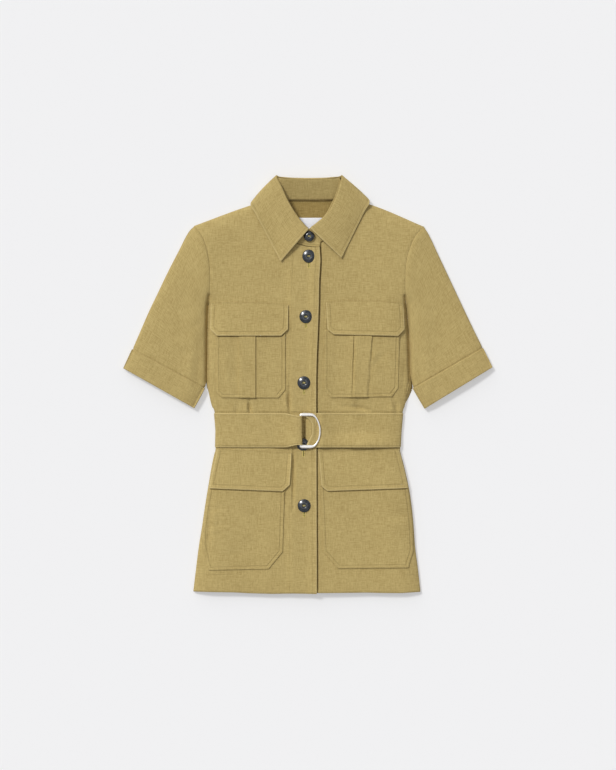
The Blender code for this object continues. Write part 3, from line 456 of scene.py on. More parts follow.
# Soft troughs and ridges in the cloth: from x, y to x, y, half width, depth, bend
CREASES = (
    (-99.0, -26.0, -96.0, -52.0, 3.0, -4.2, 1.5),
    (-32.0, -4.0, -29.5, -52.0, 3.0, -4.4, 1.0),
    (64.0, -36.0, 112.0, -46.0, 4.0, -2.6, -2.0),
    (86.0, -16.0, 91.0, -50.0, 7.0, -1.5, 2.0),
    (146.0, -24.0, 151.0, -52.0, 4.0, -3.2, -2.0),
    (-120.0, -34.0, -122.0, -50.0, 4.0, -1.2, 0.0),
    (-165.2, 82.0, -160.4, -34.0, 2.8, -2.4, 1.0),
    (-158.6, 58.0, -151.5, -36.0, 3.0, -2.0, 1.5),
    (165.6, 60.0, 158.5, -30.0, 3.5, -1.4, -1.0),
    (-164.0, -190.0, -170.5, -300.0, 4.0, -1.4, 1.5),
    (-157.0, -200.0, -160.0, -268.0, 5.0, 0.9, 1.0),
    (-24.6, -96.0, -25.6, -212.0, 2.0, -4.6, 0.0),
    (-140.0, -112.0, -152.0, -140.0, 5.0, -0.8, 1.0),
    (112.0, -108.0, 124.0, -128.0, 6.0, -1.0, 0.0),
    (-128.0, 74.0, -124.0, -10.0, 7.0, -0.8, -3.0),
    (-72.0, 70.0, -70.0, 4.0, 9.0, -0.5, 3.0),
    (48.0, 76.0, 46.0, -6.0, 9.0, -0.6, -2.0),
    (128.0, 76.0, 132.0, 6.0, 8.0, -0.7, 3.0),
    (-66.0, -22.0, -62.0, -52.0, 9.0, -0.6, 0.0),
    (44.0, -20.0, 40.0, -52.0, 8.0, -0.6, 0.0),
    (-145.0, 66.0, -130.0, 2.0, 6.0, 0.6, 4.0),
    (-152.0, 40.0, -126.0, -18.0, 5.0, -0.6, 4.0),
    (134.0, 56.0, 105.0, 20.0, 4.5, -0.8, 3.0),
    (168.0, 112.0, 196.0, 62.0, 5.0, -0.6, 4.0),
    (172.0, 98.0, 188.0, 82.0, 2.5, -0.7, 0.0),
    (-181.0, 74.0, -188.0, -24.0, 8.0, -1.5, 2.0),
    (182.0, 66.0, 194.0, -26.0, 7.0, -1.3, -2.0),
    (-171.0, 122.0, -206.0, 92.0, 6.0, -0.6, -4.0),
    (-178.0, 70.0, -226.0, 38.0, 9.0, -0.5, 3.0),
    (182.0, 60.0, 240.0, 42.0, 10.0, -0.5, -3.0),
    (-172.0, -214.0, -142.0, -206.0, 4.0, -0.7, 1.0),
    (-176.0, -240.0, -138.0, -234.0, 5.0, -0.6, 1.0),
    (-178.0, -262.0, -150.0, -252.0, 4.0, -0.6, -1.0),
    (136.0, -224.0, 172.0, -217.0, 8.0, -0.7, 2.0),
    (-80.0, -186.0, -96.0, -352.0, 22.0, -0.9, 6.0),
    (-140.0, -196.0, -163.0, -350.0, 15.0, 0.6, -5.0),
    (88.0, -186.0, 108.0, -352.0, 24.0, -0.9, -6.0),
    (46.0, -196.0, 40.0, -350.0, 16.0, 0.5, 3.0),
    (-84.0, -222.0, -46.0, -232.0, 8.0, -0.6, 3.0),
    (-150.0, -286.0, -96.0, -276.0, 9.0, -0.5, 4.0),
    (-120.0, 262.0, -138.0, 156.0, 20.0, -0.7, 6.0),
    (62.0, 246.0, 92.0, 152.0, 18.0, -0.6, -6.0),
    (-96.0, 288.0, -58.0, 206.0, 12.0, -0.7, -5.0),
    (104.0, 292.0, 66.0, 208.0, 12.0, -0.7, 5.0),
    (-60.0, 190.0, -30.0, 150.0, 14.0, -0.5, 4.0),
    (140.0, 262.0, 150.0, 170.0, 16.0, 0.5, 5.0),
)


def between(table, at):
    """Value of a table at some places, straight between its rows."""
    table = sorted(table)
    return np.interp(at, [row[0] for row in table], [row[1] for row in table])


def line_distance(x, y, lines):
    """Distance to the nearest of some polylines."""
    nearest = np.full(np.shape(x), 1e9)
    for line in lines:
        for (ax, ay), (bx, by) in zip(line[:-1], line[1:]):
            dx, dy = bx - ax, by - ay
            share = np.clip(((x - ax) * dx + (y - ay) * dy) / (dx * dx + dy * dy + 1e-9), 0, 1)
            nearest = np.minimum(nearest, np.hypot(x - ax - share * dx, y - ay - share * dy))
    return nearest


def creased(x, y):
    """Height that creases and the cloth's slight waviness add."""
    total = 0.42 * np.sin(x / 23.0 + 1.1 * np.sin(y / 41.0)) * np.sin(y / 31.0 + x / 57.0)
    total += 0.12 * np.sin(x / 9.1 + y / 13.7) * np.sin(y / 11.3 - x / 21.0)
    for ax, ay, bx, by, width, depth, bend in CREASES:
        dx, dy = bx - ax, by - ay
        length = math.hypot(dx, dy)
        share = ((x - ax) * dx + (y - ay) * dy) / (length * length)
        inside = np.clip(share, 0, 1)
        off = ((x - ax) * dy - (y - ay) * dx) / length - bend * 4 * inside * (1 - inside)
        past = np.maximum(np.abs(share - 0.5) - 0.5, 0) * length
        fade = np.exp(-(past / (width * 1.5)) ** 2) * np.sin(np.pi * np.clip(inside, 0.12, 0.88))
        total += depth * fade * (np.exp(-(off / width) ** 2)
                                 - 0.45 * np.exp(-((off - 1.9 * width) / width) ** 2))
    return total


def valley(out, deep, bank, spread):
    """A pressed line just outside an edge, and the bank where the cloth comes up again."""
    pressed = -deep * np.exp(-((out - 0.9) / 1.6) ** 2)
    return pressed + bank * smooth(out / 4) * np.exp(-np.maximum(out - 4, 0) / spread)


def ground(x, y):
    """Top of the upper cloth layer, before the laid edges press into it."""
    away = line_distance(x, y, FOLDED_EDGES)
    rise = 1 - np.minimum(away / ROLL_REACH, 1)
    body = between(CROWN, y)
    crown = body + (SLEEVE_CROWN - body) * smooth((np.abs(x) - 172) / 50)
    round_over = EDGE_Z + (crown - EDGE_Z) * np.sqrt(np.maximum(1 - rise * rise, 0))
    level = round_over + creased(x, y) * smooth(away / 14)
    for line, deep, reach in SLOTS:
        level = level - deep * np.exp(-(line_distance(x, y, [line]) / reach) ** 2)
    return level + valley(BELT_LOW_Y - y, 1.2, 0.7, 9) + valley(y - BELT_HIGH_Y, 0.9, 0.8, 12)


def ring_slot(x, y):
    """How far the fronts sink between the belt's end and the ring."""
    slot = smooth((y - BELT_LOW_Y - 2) / 6) * smooth((BELT_HIGH_Y - 2 - y) / 6)
    return RING_SLOT_DEPTH * slot * np.exp(-((x - RING_SLOT_X) / 2.8) ** 2)


def level_at(surface, x, y):
    """A surface's height at one point."""
    return float(surface(np.array([x]), np.array([y]))[0])


def height(x, y):
    """Top of the left front, pressed down beside the placket edge that lies on it."""
    edge = between(PLACKET_EDGE, y)
    return ground(x, y) + valley(x - edge, 2.8, 1.4, 14) - ring_slot(x, y)


def over(x, y):
    """Top of the right front, which rides over the left front's edge."""
    start = -38 - 14 * smooth((y - 190) / 30)
    lifted = PLACKET_LIFT * smooth((x + 4) / 18) * (1 - 0.4 * smooth((-60 - y) / 60))
    return ground(x, y) + OVERLAP_LIFT * smooth((x - start) / 12) + lifted - ring_slot(x, y)


HEM_DEPTH = 31.0
# Needle lines of the placket, measured from its edge
PLACKET_SEAMS = (7.0, 46.0)
SIDE_MARKS = np.array([0, 0.4, 1, 1.8, 2.8, 4, 5.6, 7.6, 10, 13, 16.5, 20])
EDGE_MARKS = np.array([12, 9.5, 7.5, 6.2, 5.2, 4.2, 3, 2, 1.2, 0.6, 0])
MIDDLE_COLUMNS = 84
FINE_COLUMNS = 16
# Fine columns lie this far before and after the line where an edge presses
FINE_BEFORE, FINE_AFTER = 6, 3
PRESSED_FROM_END = 16.0
HEM_BOW_REACH = 70
ARMHOLE_TURN = 1.6
# An edge turns down to the surface: share of the way down, how far it bulges out there
EDGE_TURN = ((1.0, 0.0), (0.62, 0.55), (0.3, 0.7), (0.1, 0.45))


def across(side, edge, pressed=None):
    """Points across a front, close together where the cloth turns or an edge presses it."""
    width = math.dist(side, edge)
    if pressed is None:
        middle = np.linspace(SIDE_MARKS[-1], width - EDGE_MARKS[0], MIDDLE_COLUMNS + 1)[1:-1]
    else:
        at = abs(side[0] - pressed)
        middle = np.concatenate([
            np.linspace(SIDE_MARKS[-1], at - FINE_BEFORE, MIDDLE_COLUMNS + 1)[1:],
            np.linspace(at - FINE_BEFORE, at + FINE_AFTER, FINE_COLUMNS + 1)[1:],
            np.linspace(at + FINE_AFTER, width - EDGE_MARKS[0], 10)[1:-1]])
    marks = np.concatenate([SIDE_MARKS, middle, width - EDGE_MARKS])
    return mix(side, edge, marks / width), marks / width


def groove(away, depth=0.7, reach=2.6):
    """A seam draws the cloth down on both its sides."""
    return -depth * np.exp(-(away / reach) ** 2)


def front(name, sides, edges, armhole, edge_top, neck, bow, surface, sign):
    """One front: rows from hem to shoulder, each from its folded side to its free edge."""
    lower = flow(np.concatenate([sides, edges], axis=1), 12)
    arm = flow(armhole, 8)[1:]
    placket_rows = int(len(arm) * 0.42)
    inner = np.concatenate([
        along(edge_top, np.arange(1, placket_rows + 1) / placket_rows),
        along(flow(neck, 6), np.arange(1, len(arm) - placket_rows + 1)
              / (len(arm) - placket_rows))])
    grid, walls = [], []

    def pressed(at, end):
        """Where the placket edge crosses a row, as long as the row runs under it."""
        if surface is over:
            return None
        return max(float(between(PLACKET_EDGE, at)), end + PRESSED_FROM_END)

    for lx, ly, rx, ry in lower:
        grid.append(across((lx, ly), (rx, ry), pressed(ly, rx))[0])
        walls.append(1.0)
    for i, ((x, y), end) in enumerate(zip(arm, inner)):
        points, shares = across((x - sign * SEAM_GAP / 2, y), end, pressed(y, end[0]))
        share = smooth((i - len(arm) / 2) / (len(arm) / 2 - 1))
        points[:, 1] += bow * share * np.sin(np.pi * shares ** 1.3)
        grid.append(points)
        walls.append(0.0)
    grid = np.array(grid)
    x, y = grid[..., 0], grid[..., 1]
    y -= between(HEM_BOW, x) * smooth(1 - (y - y[:1]) / HEM_BOW_REACH)
    z = np.maximum(surface(x, y) + groove(line_distance(x, y, [flow(armhole, 4)])), CLOTH)
    grid = np.concatenate([grid, z[..., None]], axis=2)
    # The folded side, turned down to the surface; along the armhole only a seam edge
    folded = np.array(walls)
    start = grid[:, 0]
    foot = floor_lift(start[:, 1]) * folded
    foot += np.maximum(start[:, 2] - ARMHOLE_TURN, 0) * (1 - folded)
    turned = []
    spread = between(UNDERARM_SPREAD[sign], start[:, 1])
    for drop, out in EDGE_TURN:
        step = start.copy()
        step[:, 0] += sign * (out + spread * drop ** 2) * folded
        step[:, 2] = start[:, 2] * (1 - drop) + foot * drop
        turned.append(step)
    grid = np.concatenate([np.stack(turned, axis=1), grid], axis=1)
    top = grid[-1]
    for drop, out in EDGE_TURN[::-1]:
        step = top.copy()
        step[:, 1] += out
        step[:, 2] = top[:, 2] * (1 - drop)
        grid = np.concatenate([grid, step[None]], axis=0)
    # The rim mark gives the placket's free edge a painted highlight
    edge_line = np.concatenate([np.array(edges), np.array(edge_top)])
    from_edge = line_distance(grid[..., 0], grid[..., 1], [edge_line])
    # The needle mark paints shade along the hem and placket stitches
    needle = np.abs(grid[..., 1] - (grid[0, :, 1].mean() + HEM_DEPTH)) + 0.5
    if surface is over:
        for seam in PLACKET_SEAMS:
            needle = np.minimum(needle, np.abs(from_edge - seam))
    return shell(name, grid, CLOTH, grid[..., :2] * MM, flip=sign > 0,
                 rim=from_edge if surface is over else from_edge + 50, needle=needle), grid


front_right, right_grid = front(
    "front_right_panel", SIDE_RIGHT, EDGE_OVER, ARMHOLE_RIGHT, EDGE_OVER_TOP, NECK_RIGHT,
    SHOULDER_BOW_RIGHT, over, -1)
sewn(front_right, ["front_right"],
     KHAKI)
front_left, left_grid = front(
    "front_left_panel", SIDE_LEFT, EDGE_UNDER, ARMHOLE_LEFT, EDGE_UNDER_TOP, NECK_LEFT,
    SHOULDER_BOW_LEFT, height, 1)
sewn(front_left, ["front_left"],
     KHAKI)

# The sleeves
# Short set-in linen sleeves, one tube each with a seam under the arm, flattened where they
# lie. Their grain runs down the arm.
SLEEVE_STEPS = 8
CUFF_ROWS = 3
CUFF_PASS_Z = 1.65
# A folded side turns down: share of the way down, how far it bulges out there
TUBE_TURN = ((0.3, 0.5), (0.65, 0.6), (1.0, 0.2))
TUBE_MARKS = np.concatenate([
    [0, 0.003, 0.008, 0.016, 0.028, 0.045, 0.07], np.linspace(0.1, 0.9, 41),
    [0.93, 0.955, 0.972, 0.984, 0.992, 0.997, 1]])
UNDER_MARKS = np.linspace(0.97, 0.03, 22)


def tube(rows, surface, foot, armhole=None, shift=0.0):
    """A flattened tube: each row goes over the top and back along the surface.

    Gives back the grid of points, their places on the cloth and the largest girth.
    """
    rows = np.asarray(rows, float)
    bend_top = np.zeros((len(TUBE_MARKS), 2))
    bend_under = np.zeros((len(UNDER_MARKS), 2))
    if armhole is not None:
        line = flow(armhole, 6)[::-1]
        bend_top = along(line, TUBE_MARKS) - mix(line[0], line[-1], TUBE_MARKS)
        bend_under = along(line, UNDER_MARKS) - mix(line[0], line[-1], UNDER_MARKS)
    grid = []
    for r, row in enumerate(rows):
        outer, under, curve = row[:2], row[2:4], row[4] if len(row) > 4 else 0.0
        move = np.array([shift if r == 0 else 0.0, 0.0])
        top = mix(outer, under, TUBE_MARKS) + bend_top * curve + move
        low = mix(outer, under, UNDER_MARKS) + bend_under * curve + move
        z = surface(top[:, 0], top[:, 1], r)
        way = (under - outer) / np.linalg.norm(under - outer)
        base = foot(r)
        ring = [np.column_stack([top, z])]
        for end, turn, level in ((top[-1], 1, z[-1]), (top[0], -1, z[0])):
            wall = [(*(end + turn * way * out), level * (1 - drop) + base * drop)
                    for drop, out in TUBE_TURN]
            ring.append(np.array(wall if turn > 0 else wall[::-1]))
            if turn > 0:
                ring.append(np.column_stack([low, np.full(len(low), base)]))
        grid.append(np.concatenate(ring))
    grid = np.array(grid)
    middle = grid[:, :len(TUBE_MARKS)].mean(axis=1)[:, :2]
    run = travelled(middle)
    girth = np.linalg.norm(np.diff(grid, axis=1, append=grid[:, :1]), axis=2)
    around = np.cumsum(girth, axis=1) - girth
    uv = np.stack([around, np.broadcast_to(run[:, None], around.shape)], axis=2) * MM
    return grid, uv, float(girth.sum(axis=1).max())


sleeves = (
    ("right", SLEEVE_RIGHT, ARMHOLE_RIGHT, -1), ("left", SLEEVE_LEFT, ARMHOLE_LEFT, 1))
for side, table, armhole, sign in sleeves:
    rows = flow(table, SLEEVE_STEPS)
    cuff_start = (len(table) - 1 - CUFF_ROWS) * SLEEVE_STEPS

    def in_cuff(r, cuff_start=cuff_start):
        return smooth((r - cuff_start) / SLEEVE_STEPS)

    seam_line = flow(armhole, 4)

    def sleeve_top(x, y, r, seam_line=seam_line, in_cuff=in_cuff):
        away = line_distance(x, y, [seam_line])
        puff = np.exp(-((away - 9) / 7) ** 2)
        return ground(x, y) - 0.6 * in_cuff(r) + groove(away, 0.8) + 0.35 * puff

    grid, uv, girth = tube(rows, sleeve_top, lambda r: CUFF_PASS_Z * in_cuff(r),
                           armhole, sign * SEAM_GAP / 2)
    piece = shell(f"sleeve_{side}_tube", grid, CLOTH, uv, ring=True, flip=sign < 0)
    sewn(piece, [f"sleeve_{side}"],
         KHAKI)

# The cuffs
# The sleeve ends are turned up on the outside as flat bands of the same linen, pressed
# and caught at the seams.
CUFF_RIGHT = (
    (-299.2, 60.7, -175.9, -5.7), (-306.4, 45.3, -184.2, -21.9), (-313.9, 28.7, -193.7, -38.9),
)
CUFF_LEFT = (
    (297.5, 62.9, 178.7, -5.7), (305.3, 47.2, 188.3, -22.6), (313.5, 30.4, 198.5, -39.8),
)
CUFF_STEPS = 9
CUFF_GAP = 0.5
# How far the inner end of a cuff stands off the sleeve
CUFF_LOOSE = 1.8


def cuff_top(x, y, r):
    loose = CUFF_LOOSE * smooth((228 - np.abs(x)) / 45)
    return ground(x, y) + CUFF_GAP + CLOTH + loose + 0.12 * np.sin(x / 7.0 + y / 9.0)


for side, table, sign in (("right", CUFF_RIGHT, -1), ("left", CUFF_LEFT, 1)):
    grid, uv, girth = tube(flow(table, CUFF_STEPS), cuff_top, lambda r: 0.0)
    piece = shell(f"cuff_{side}_band", grid, CLOTH, uv, ring=True, flip=sign < 0)
    sewn(piece, [f"cuff_{side}"],
         KHAKI)

# The chest pockets
# Patch pockets of linen with cut bottom corners, sewn round three sides, each with one
# box pleat down its middle that stands up between two pressed folds.
LAYER_GAP = 0.5
POCKET_CLOTH = 0.9
POCKET_SEAM = 4.8
CHEST_POCKET_RIGHT = (
    (-155.4, 128.0, -39.3, 128.0), (-155.6, 85.0, -38.9, 85.0), (-156.3, 12.0, -38.9, 12.0),
    (-156.4, -11.5, -38.9, -8.0), (-146.5, -21.4, -50.3, -21.8),
)
CHEST_POCKET_LEFT = (
    (28.1, 128.0, 155.3, 128.0), (28.1, 85.0, 155.3, 85.0), (28.1, 12.0, 153.2, 12.0),
    (28.1, -7.8, 152.7, -5.6), (39.3, -21.4, 142.5, -19.6),
)
# Pleat folds: y, x of the left fold, x of the right fold
PLEAT_RIGHT = ((128.0, -117.3, -89.1), (-22.0, -117.2, -89.1))
PLEAT_LEFT = ((128.0, 77.5, 109.1), (85.0, 77.4, 109.0), (12.0, 75.3, 103.6), (-22.0, 74.5, 101.3))
PLEAT_RISE = 2.5
ROW_STEP = 1.8
FINE_STEP = 0.6
# Heights between which a flap's free edge presses the pocket, so that its rows lie close
CHEST_PRESSED = (78, 98)
# Columns beside a pleat's pressed fold
FOLD_MARKS = (-1.5, -0.7, -0.4, -0.2, 0, 0.3, 0.9, 1.6, 2.6)
# The flap's free edge, which presses each pocket: x, y
UNDER_FLAP = {
    "chest_right": ((-166.1, 95.0), (-154.7, 83.8), (-45.6, 83.9), (-34.2, 94.8)),
    "chest_left": ((33.3, 94.9), (43.5, 86.2), (153.2, 83.4), (164.1, 95.2)),
    "hip_right": ((-168.0, -175.4), (-43.4, -180.5), (-31.3, -169.7)),
    "hip_left": ((23.5, -171.9), (33.2, -179.9), (170.0, -175.0)),
}


def outline(table):
    """The closed outline of a table of rows, left x, y and right x, y."""
    left = [tuple(row[:2]) for row in table]
    right = [tuple(row[2:4]) for row in table]
    return left + right[::-1] + left[:1]


def patch_grid(table, columns, pressed):
    """Rows of points between two outlines, closest between the two heights in pressed."""
    table = np.asarray(table, float)
    rows = []
    for a, b in zip(table[:-1], table[1:]):
        count = max(2, int(math.ceil(abs(b[1] - a[1]) / FINE_STEP)))
        skip = int(ROW_STEP / FINE_STEP)
        rows += [a + (b - a) * i / count for i in range(count)
                 if i % skip == 0 or pressed[0] < a[1] + (b[1] - a[1]) * i / count < pressed[1]]
    rows = np.array(rows + [table[-1]])
    marks = np.asarray(columns, float)
    return np.stack([mix(row[:2], row[2:4], marks) for row in rows])


def edge_marks(width, step=2.2, fine=(0, 0.5, 1.2, 2.0, 2.9, 3.8, 4.7, 5.6, 6.5, 7.4, 8.6)):
    """Shares of a width: close together near both edges, even between."""
    fine = np.array(fine)
    middle = np.linspace(fine[-1], width - fine[-1],
                         max(2, int((width - 2 * fine[-1]) / step)) + 1)[1:-1]
    return np.concatenate([fine, middle, (width - fine)[::-1]]) / width


def turned_edge(away, seam):
    """The turned-in allowance thickens an edge, and the stitches draw it in."""
    return 0.35 * smooth((seam + 3.5 - away) / 2.5) - 0.4 * np.exp(-((away - seam) / 1.1) ** 2)


def laid(name, grid, surface, lift, thick, sewn_line, seam, free=False, fold=None):
    """Flat cloth on a surface, its underside a gap above it. A free edge gets a painted highlight.
    """
    x, y = grid[..., 0], grid[..., 1]
    away = line_distance(x, y, [sewn_line])
    low = surface(x, y) + lift(x, y)
    high = low + thick + turned_edge(away, seam)
    top = np.concatenate([grid, high[..., None]], axis=2)
    under = np.concatenate([grid, low[..., None]], axis=2)
    needle = np.abs(away - seam)
    # The fold joins the needle mark, so painted shade darkens the flap's folded top edge
    if fold is not None:
        needle = np.minimum(needle, line_distance(x, y, [fold]) * 0.8 - 0.6)
    return shell(name, top, thick, grid * MM, inner=under, rim=away + (0 if free else 50),
                 needle=needle), top


def under_flap(x, y, edge):
    """The dip under a flap's free edge and the puffed cloth below it."""
    out = np.interp(x, [row[0] for row in edge], [row[1] for row in edge]) - y
    return valley(out, 1.15, 1.0, 16)


def pleat_rise(x, y, folds, both):
    """How far the box pleat stands up. Each pressed fold drops steeply to one side."""
    rows = sorted(folds)
    left = np.interp(y, [row[0] for row in rows], [row[1] for row in rows])
    right = np.interp(y, [row[0] for row in rows], [row[2] for row in rows])
    body = smooth((x - left + 0.5) / 5.0) * smooth((right + 0.4 - x) / 0.5)
    beside = smooth((left - x + 0.4) / 0.5) * np.exp(-np.maximum(left - x, 0) / 9.0)
    if not both:
        body = np.maximum(body, smooth((x - left + 0.4) / 0.5) * (x < right - 6) * 0.75)
        beside = beside * 0.2
    fall = smooth((x - right + 0.2) / 0.4) * np.exp(-np.maximum(x - right - 0.2, 0) / 1.2)
    return (PLEAT_RISE * np.maximum(body, beside) - 0.4 * fall) * smooth((100 - y) / 15)


chest = (
    ("right", CHEST_POCKET_RIGHT, PLEAT_RIGHT, False, over, "front_right_panel"),
    ("left", CHEST_POCKET_LEFT, PLEAT_LEFT, True, height, "front_left_panel"),
)
for side, table, folds, both, surface, under in chest:
    width = table[0][2] - table[0][0]
    marks = list(edge_marks(width, 2.0))
    for fold in folds[0][1:]:
        marks += [(fold + off - table[0][0]) / width for off in FOLD_MARKS]
    grid = patch_grid(table, sorted(set(marks)), CHEST_PRESSED)
    flap_edge = UNDER_FLAP[f"chest_{side}"]

    def chest_lift(x, y, folds=folds, both=both, flap_edge=flap_edge):
        return LAYER_GAP + pleat_rise(x, y, folds, both) + under_flap(x, y, flap_edge)

    piece, top = laid(f"chest_pocket_{side}_patch", grid, surface, chest_lift, POCKET_CLOTH,
                      outline(table), POCKET_SEAM)
    sewn(piece, [f"chest_pocket_{side}"],
         KHAKI)

# The hip pockets
# Larger plain patch pockets with cut inner corners, running out to the side seams.
HIP_POCKET_RIGHT = (
    (-160.2, -140.0, -39.2, -141.0), (-166.8, -172.0, -39.8, -173.0),
    (-173.4, -210.0, -41.2, -212.0), (-177.8, -243.0, -42.4, -250.0),
    (-178.8, -270.5, -43.4, -283.6), (-171.2, -305.0, -60.6, -304.2),
    (-168.6, -314.3, -67.2, -312.2),
)
HIP_POCKET_LEFT = (
    (20.6, -141.0, 161.8, -140.0), (22.0, -173.0, 169.2, -172.0),
    (23.7, -212.0, 174.9, -210.0), (25.3, -250.0, 178.0, -243.0),
    (26.7, -283.6, 178.9, -281.4), (45.2, -304.6, 172.0, -303.4),
    (51.5, -311.7, 170.9, -310.4),
)
HIP_PRESSED = (-186, -168)
hips = (
    ("right", HIP_POCKET_RIGHT, over, "front_right_panel"),
    ("left", HIP_POCKET_LEFT, height, "front_left_panel"),
)
for side, table, surface, under in hips:
    width = table[3][2] - table[3][0]
    grid = patch_grid(table, edge_marks(width), HIP_PRESSED)
    flap_edge = UNDER_FLAP[f"hip_{side}"]
    piece, top = laid(f"hip_pocket_{side}_patch", grid, surface,
                      lambda x, y, edge=flap_edge: LAYER_GAP + under_flap(x, y, edge),
                      POCKET_CLOTH, outline(table), POCKET_SEAM)
    sewn(piece, [f"hip_pocket_{side}"],
         KHAKI)

# The pocket flaps
# Doubled linen flaps with cut corners, sewn along the upper edge above each pocket and
# stitched round the free edges, which stand a little off the pocket.
# Rows: left x, y, right x, y, bow, lift over the front
CHEST_FLAP_RIGHT = (
    (-164.9, 138.9, -33.7, 136.0, 2.6, 1.3), (-165.2, 127.0, -33.9, 125.0, 1.6, 1.9),
    (-165.7, 110.0, -34.0, 109.0, 0.0, 2.4), (-166.1, 95.0, -34.2, 94.8, 0.0, 3.4),
    (-154.7, 83.8, -45.6, 83.9, 0.0, 4.3),
)
CHEST_FLAP_LEFT = (
    (30.9, 140.1, 162.2, 138.2, 4.2, 1.3), (31.6, 128.0, 162.9, 127.0, 2.0, 1.9),
    (32.6, 110.0, 163.6, 110.0, 0.0, 2.4), (33.3, 94.9, 164.1, 95.2, 0.0, 3.4),
    (43.5, 86.2, 153.2, 83.4, 0.0, 4.3),
)
HIP_FLAP_RIGHT = (
    (-154.6, -109.4, -28.1, -115.8, 0.0, 0.5), (-156.3, -121.0, -28.5, -126.0, 0.0, 1.2),
    (-160.6, -139.0, -29.5, -142.0, 0.0, 1.9), (-166.6, -167.5, -31.3, -169.7, 0.0, 2.6),
    (-167.4, -175.4, -43.4, -180.5, 0.0, 3.2),
)
HIP_FLAP_LEFT = (
    (18.0, -112.6, 154.8, -109.6, 0.0, 0.5), (19.2, -124.0, 157.8, -122.0, 0.0, 1.2),
    (20.9, -143.0, 162.3, -140.0, 0.0, 1.9), (23.5, -171.9, 168.6, -168.0, 0.0, 2.6),
    (33.2, -179.9, 169.4, -175.0, 0.0, 3.2),
)
FLAP_CLOTH = 1.1
FLAP_SEAM = 6.6
FLAP_ROW_STEP = 1.2
flaps = (
    ("chest_flap_right", CHEST_FLAP_RIGHT, over, "chest_pocket_right_patch"),
    ("chest_flap_left", CHEST_FLAP_LEFT, height, "chest_pocket_left_patch"),
    ("hip_flap_right", HIP_FLAP_RIGHT, over, "hip_pocket_right_patch"),
    ("hip_flap_left", HIP_FLAP_LEFT, height, "hip_pocket_left_patch"),
)
for node, table, surface, under in flaps:
    width = table[2][2] - table[2][0]
    marks = edge_marks(width)
    full = np.asarray(table, float)
    rows = []
    for a, b in zip(full[:-1], full[1:]):
        count = max(3, int(math.ceil(abs(b[1] - a[1]) / FLAP_ROW_STEP)))
        rows += [a + (b - a) * i / count for i in range(count)]
    rows = np.array(rows + [full[-1]])
    grid = np.stack([mix(row[:2], row[2:4], marks) for row in rows])
    grid[..., 1] += rows[:, 4:5] * 4 * marks * (1 - marks)
    lifts = np.repeat(rows[:, 5:6], len(marks), axis=1)
    piece, top = laid(f"{node}_cloth", grid, surface, lambda x, y, lifts=lifts: lifts,
                      FLAP_CLOTH, outline(table)[:-1], FLAP_SEAM, free=True, fold=grid[0])
    sewn(piece, [node],
         KHAKI)

# The collar leaf
# A pointed shirt collar of two linen layers, rolled over its stand and pressed. Behind the
# neck it turns down and lies under the stand.
# Rows: rolled edge x, y, z, pull x, y, z, outer edge x, y and lift over what it lies on
LEAF = (
    (0.6, 264.0, 24.0, -18.0, 243.0, 26.5, -46.4, 209.8, 4.2),
    (-7.8, 272.3, 23.4, -29.0, 254.0, 25.0, -52.7, 221.8, 2.8),
    (-17.5, 283.6, 23.0, -41.0, 267.0, 22.0, -59.7, 235.2, 1.8),
    (-28.4, 300.4, 23.0, -54.0, 283.0, 21.5, -69.3, 253.4, 2.0),
    (-37.0, 316.7, 22.5, -66.0, 300.0, 21.0, -79.0, 271.9, 2.4),
    (-45.0, 336.0, 22.0, -77.0, 317.0, 19.0, -88.8, 290.5, 3.4),
    (-54.0, 354.4, 20.0, -80.0, 331.0, 14.0, -97.8, 307.5, 6.0),
    (-51.5, 354.2, 19.5, -75.0, 340.5, 2.0, -88.0, 319.0, 1.0),
    (-45.0, 352.6, 19.0, -58.5, 360.0, -1.5, -71.0, 321.6, 0.0),
    (-26.0, 350.6, 19.0, -30.0, 360.5, -1.5, -36.0, 318.4, 0.0),
    (2.0, 349.8, 19.0, 2.0, 360.5, -1.5, 2.0, 317.4, 0.0),
    (28.0, 350.6, 19.0, 32.0, 360.5, -1.5, 38.0, 318.4, 0.0),
    (47.0, 352.6, 19.0, 62.5, 360.0, -1.5, 76.5, 324.6, 0.0),
    (55.7, 354.2, 19.5, 80.0, 342.0, 2.0, 95.0, 323.2, 1.0),
    (58.0, 354.4, 20.0, 84.0, 332.0, 14.0, 104.8, 311.5, 6.0),
    (52.9, 333.0, 22.0, 83.0, 316.0, 19.0, 96.0, 294.8, 3.4),
    (46.4, 313.5, 22.5, 75.0, 298.0, 21.0, 87.5, 277.6, 2.4),
    (37.7, 296.1, 23.0, 63.0, 282.0, 21.5, 78.6, 259.7, 2.2),
    (26.9, 283.6, 23.0, 50.0, 267.0, 22.0, 69.7, 241.8, 2.0),
    (15.0, 273.4, 23.0, 38.0, 256.0, 22.5, 62.9, 228.2, 3.0),
    (4.4, 265.7, 23.4, 25.0, 246.0, 23.5, 56.8, 215.8, 4.2),
)
LEAF_CLOTH = 1.2
LEAF_FRONT_STATIONS = 7
LEAF_LENGTH_COLUMN = 8
LEAF_SEAM = 4.8
# The rolled edge turns in over the stand: how far in, how far down
LEAF_LIP = ((1.9, 2.6), (1.5, 1.2), (0.8, 0.35))
NECK_CENTRE = (2.0, 300.0)
LEAF_STEPS = np.concatenate([np.linspace(0, 0.86, 22), [0.9, 0.93, 0.955, 0.975, 0.99, 1]])


def band_places(length, run):
    """Place on the cloth of a band: how far along it, and how far across it."""
    return np.stack([np.broadcast_to(length[:, None], run.shape), run], axis=2) * MM


